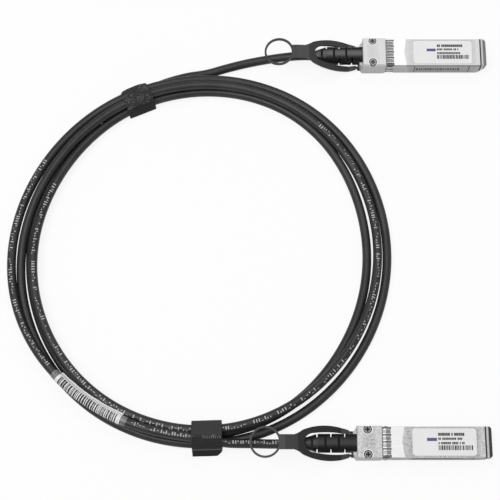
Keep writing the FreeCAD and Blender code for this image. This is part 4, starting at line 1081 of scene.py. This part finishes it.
def label_print(tag, rear, middle, seed):
    """Three rows of plain blocks over a row of bars on the plug's label, and a blue block beside them."""
    left = rear + 35.1
    top = middle + 5.9
    bars_end = left + 14.8
    bm = bmesh.new()
    dice = Sequence(seed)
    for offset, length, height, wide in (
        (2.6, 11.4, 1.3, 0.78),
        (4.5, 10.2, 1.0, 0.62),
        (6.4, 11.0, 1.0, 0.62),
    ):
        x = left
        low = top - offset - height / 2
        while x < left + length:
            width = wide * dice.next(0.7, 1.15)
            flat_bar(bm, x, x + width, low, low + height)
            x += width + (0.13 if dice.next() < 0.86 else 0.6)
    x = left
    while x < bars_end:
        width = 0.2 + 0.18 * int(dice.next(0, 4))
        flat_bar(bm, x, min(x + width, bars_end), top - 9.4, top - 7.35)
        x += width + 0.16 + 0.09 * int(dice.next(0, 3))
    make_object("label_print_" + tag, bm, ink)
    block = bmesh.new()
    flat_bar(block, rear + 30.2, rear + 34.5, top - 5.5, top - 4.1)
    make_object("label_block_" + tag, block, blue_ink)


def side_marks(tag, rear, middle, seed):
    """A row of plain bars marked on the housing's sunk side panel."""
    low = 2.9
    high = 5.3
    y = middle - MARKS_SIDE
    bm = bmesh.new()
    dice = Sequence(seed)
    x = rear + 25.4
    while x < rear + 46:
        width = dice.next(0.35, 1.1)
        corners = ((x, low), (x + width, low), (x + width, high), (x, high))
        bm.faces.new([bm.verts.new((u, y, z)) for u, z in corners])
        x += width + dice.next(0.3, 0.6)
    make_object("side_marks_" + tag, bm, mark_ink)


# ------------------------------------------------------- looks of CAD nodes


def smooth_by_angle(degrees):
    """A node group that shades a mesh smooth, except at edges sharper than an angle."""
    group = bpy.data.node_groups.new("smooth_by_angle", "GeometryNodeTree")
    group.interface.new_socket("Mesh", in_out="INPUT", socket_type="NodeSocketGeometry")
    group.interface.new_socket("Mesh", in_out="OUTPUT", socket_type="NodeSocketGeometry")
    start = group.nodes.new("NodeGroupInput")
    end = group.nodes.new("NodeGroupOutput")
    angle = group.nodes.new("GeometryNodeInputMeshEdgeAngle")
    sharper = group.nodes.new("FunctionNodeCompare")
    sharper.data_type = "FLOAT"
    sharper.operation = "GREATER_THAN"
    sharper.inputs[1].default_value = math.radians(degrees)
    faces = group.nodes.new("GeometryNodeSetShadeSmooth")
    faces.domain = "FACE"
    edges = group.nodes.new("GeometryNodeSetShadeSmooth")
    edges.domain = "EDGE"
    edges.inputs["Shade Smooth"].default_value = False
    group.links.new(start.outputs[0], faces.inputs["Geometry"])
    group.links.new(faces.outputs["Geometry"], edges.inputs["Geometry"])
    group.links.new(angle.outputs["Unsigned Angle"], sharper.inputs[0])
    group.links.new(sharper.outputs["Result"], edges.inputs["Selection"])
    group.links.new(edges.outputs["Geometry"], end.inputs[0])
    return group


def soften(node, width, group):
    """Rounds a solid's edges a little, so that they catch the light, and shades it smooth."""
    obj = frame["nodes"][node]
    planar = obj.modifiers.new("flat_faces", "DECIMATE")
    planar.decimate_type = "DISSOLVE"
    planar.angle_limit = math.radians(1.0)
    bevel = obj.modifiers.new("edges", "BEVEL")
    bevel.width = width * MM
    bevel.segments = 2
    bevel.limit_method = "ANGLE"
    bevel.angle_limit = math.radians(48)
    shading = obj.modifiers.new("shading", "NODES")
    shading.node_group = group


def dress(node, material):
    """Gives a solid its material."""
    obj = frame["nodes"][node]
    obj.data.materials.clear()
    obj.data.materials.append(material)


rounding = smooth_by_angle(40)
for tag, plug in PLUGS.items():
    rear, middle = plug["rear"], plug["middle"]
    cover_zinc, shell_zinc = plug_materials(tag, plug)
    for name, material in (
        ("bottom_shell", shell_zinc),
        ("top_cover", cover_zinc),
        ("cover_screws", screw_metal("screw_head_" + tag, rear, middle, plug["screw"][1])),
        ("emi_collar", finger_sheet("collar_sheet_" + tag, rear, middle, 232, plug["side"])),
        ("latch_slide", slide_metal("slide_sheet_" + tag, rear)),
        ("return_springs", spring_steel),
        ("pull_tab", moulded("tab_plastic_" + tag, *plug["tab"], 0.42)),
        ("paddle_card", green_board),
        ("edge_contacts", gold),
        ("card_components", chip_plastic),
        ("crimp_ferrule", brass),
        ("twinax_leads", lead_plastic),
        ("strain_relief", boot_rubber_lit_and_shaded("boot_rubber_lit_and_shaded_" + tag, rear, middle, *plug["boot"])),
        ("plug_label", label_paper),
    ):
        dress(f"{name}_{tag}", material)
    soften("pull_tab_" + tag, 0.25, rounding)
    soften("strain_relief_" + tag, 0.15, rounding)
    soften("bottom_shell_" + tag, 0.1, rounding)
    soften("top_cover_" + tag, 0.12, rounding)
    springs = frame["nodes"]["return_springs_" + tag]
    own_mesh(springs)
    label_print(tag, rear, middle, plug["seeds"][0])
    side_marks(tag, rear, middle, plug["seeds"][1])

cable_pieces = [jacket_legend(), *wrap_label(), *lower_strap(), *upper_strap()]
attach(cable, "root")
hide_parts("cable_coil", "cable_tail_a", "cable_tail_b")

# ------------------------------------------------------------ floor and light


def pale_floor():
    """A large floor that looks nearly white to the camera and still takes soft shadows."""
    bm = bmesh.new()
    bmesh.ops.create_grid(bm, x_segments=8, y_segments=8, size=1.6)
    mesh = bpy.data.meshes.new("floor")
    bm.to_mesh(mesh)
    bm.free()
    floor = bpy.data.objects.new("floor", mesh)
    bpy.context.scene.collection.objects.link(floor)
    material = bpy.data.materials.new("floor_white")
    material.use_nodes = True
    tree = material.node_tree
    tree.nodes.clear()
    output = tree.nodes.new("ShaderNodeOutputMaterial")
    diffuse = tree.nodes.new("ShaderNodeBsdfDiffuse")
    diffuse.inputs["Color"].default_value = (0.9, 0.9, 0.9, 1)
    glow = tree.nodes.new("ShaderNodeEmission")
    glow.inputs["Strength"].default_value = 1.0
    mix = tree.nodes.new("ShaderNodeMixShader")
    rays = tree.nodes.new("ShaderNodeLightPath")
    share = tree.nodes.new("ShaderNodeMath")
    share.operation = "MULTIPLY"
    share.inputs[1].default_value = 0.86
    tree.links.new(rays.outputs["Is Camera Ray"], share.inputs[0])
    tree.links.new(share.outputs["Value"], mix.inputs["Fac"])
    tree.links.new(diffuse.outputs["BSDF"], mix.inputs[1])
    tree.links.new(glow.outputs["Emission"], mix.inputs[2])
    tree.links.new(mix.outputs["Shader"], output.inputs["Surface"])
    mesh.materials.append(material)


def soft_light(name, place, size, power):
    """A round area light that points at the middle of the floor."""
    data = bpy.data.lights.new(name, "AREA")
    data.shape = "DISK"
    data.size = size
    data.energy = power
    light = bpy.data.objects.new(name, data)
    light.location = place
    light.rotation_euler = (-Vector(place)).to_track_quat("-Z", "Y").to_euler()
    bpy.context.scene.collection.objects.link(light)


def white_world(strength):
    """White surroundings, brighter to the camera than as a light."""
    world = bpy.data.worlds.new("studio")
    bpy.context.scene.world = world
    world.use_nodes = True
    tree = world.node_tree
    background = tree.nodes["Background"]
    background.inputs["Color"].default_value = (1, 1, 1, 1)
    rays = tree.nodes.new("ShaderNodeLightPath")
    level = tree.nodes.new("ShaderNodeMapRange")
    level.inputs["To Min"].default_value = strength
    level.inputs["To Max"].default_value = 1.0
    tree.links.new(rays.outputs["Is Camera Ray"], level.inputs["Value"])
    tree.links.new(level.outputs["Result"], background.inputs["Strength"])


pale_floor()
soft_light("rear", (0.15, 0.5, 0.85), 0.5, 1.6)
soft_light("overhead", (-0.35, -0.1, 0.95), 0.7, 5.6)
white_world(0.4)
bpy.context.scene.view_settings.view_transform = "Standard"
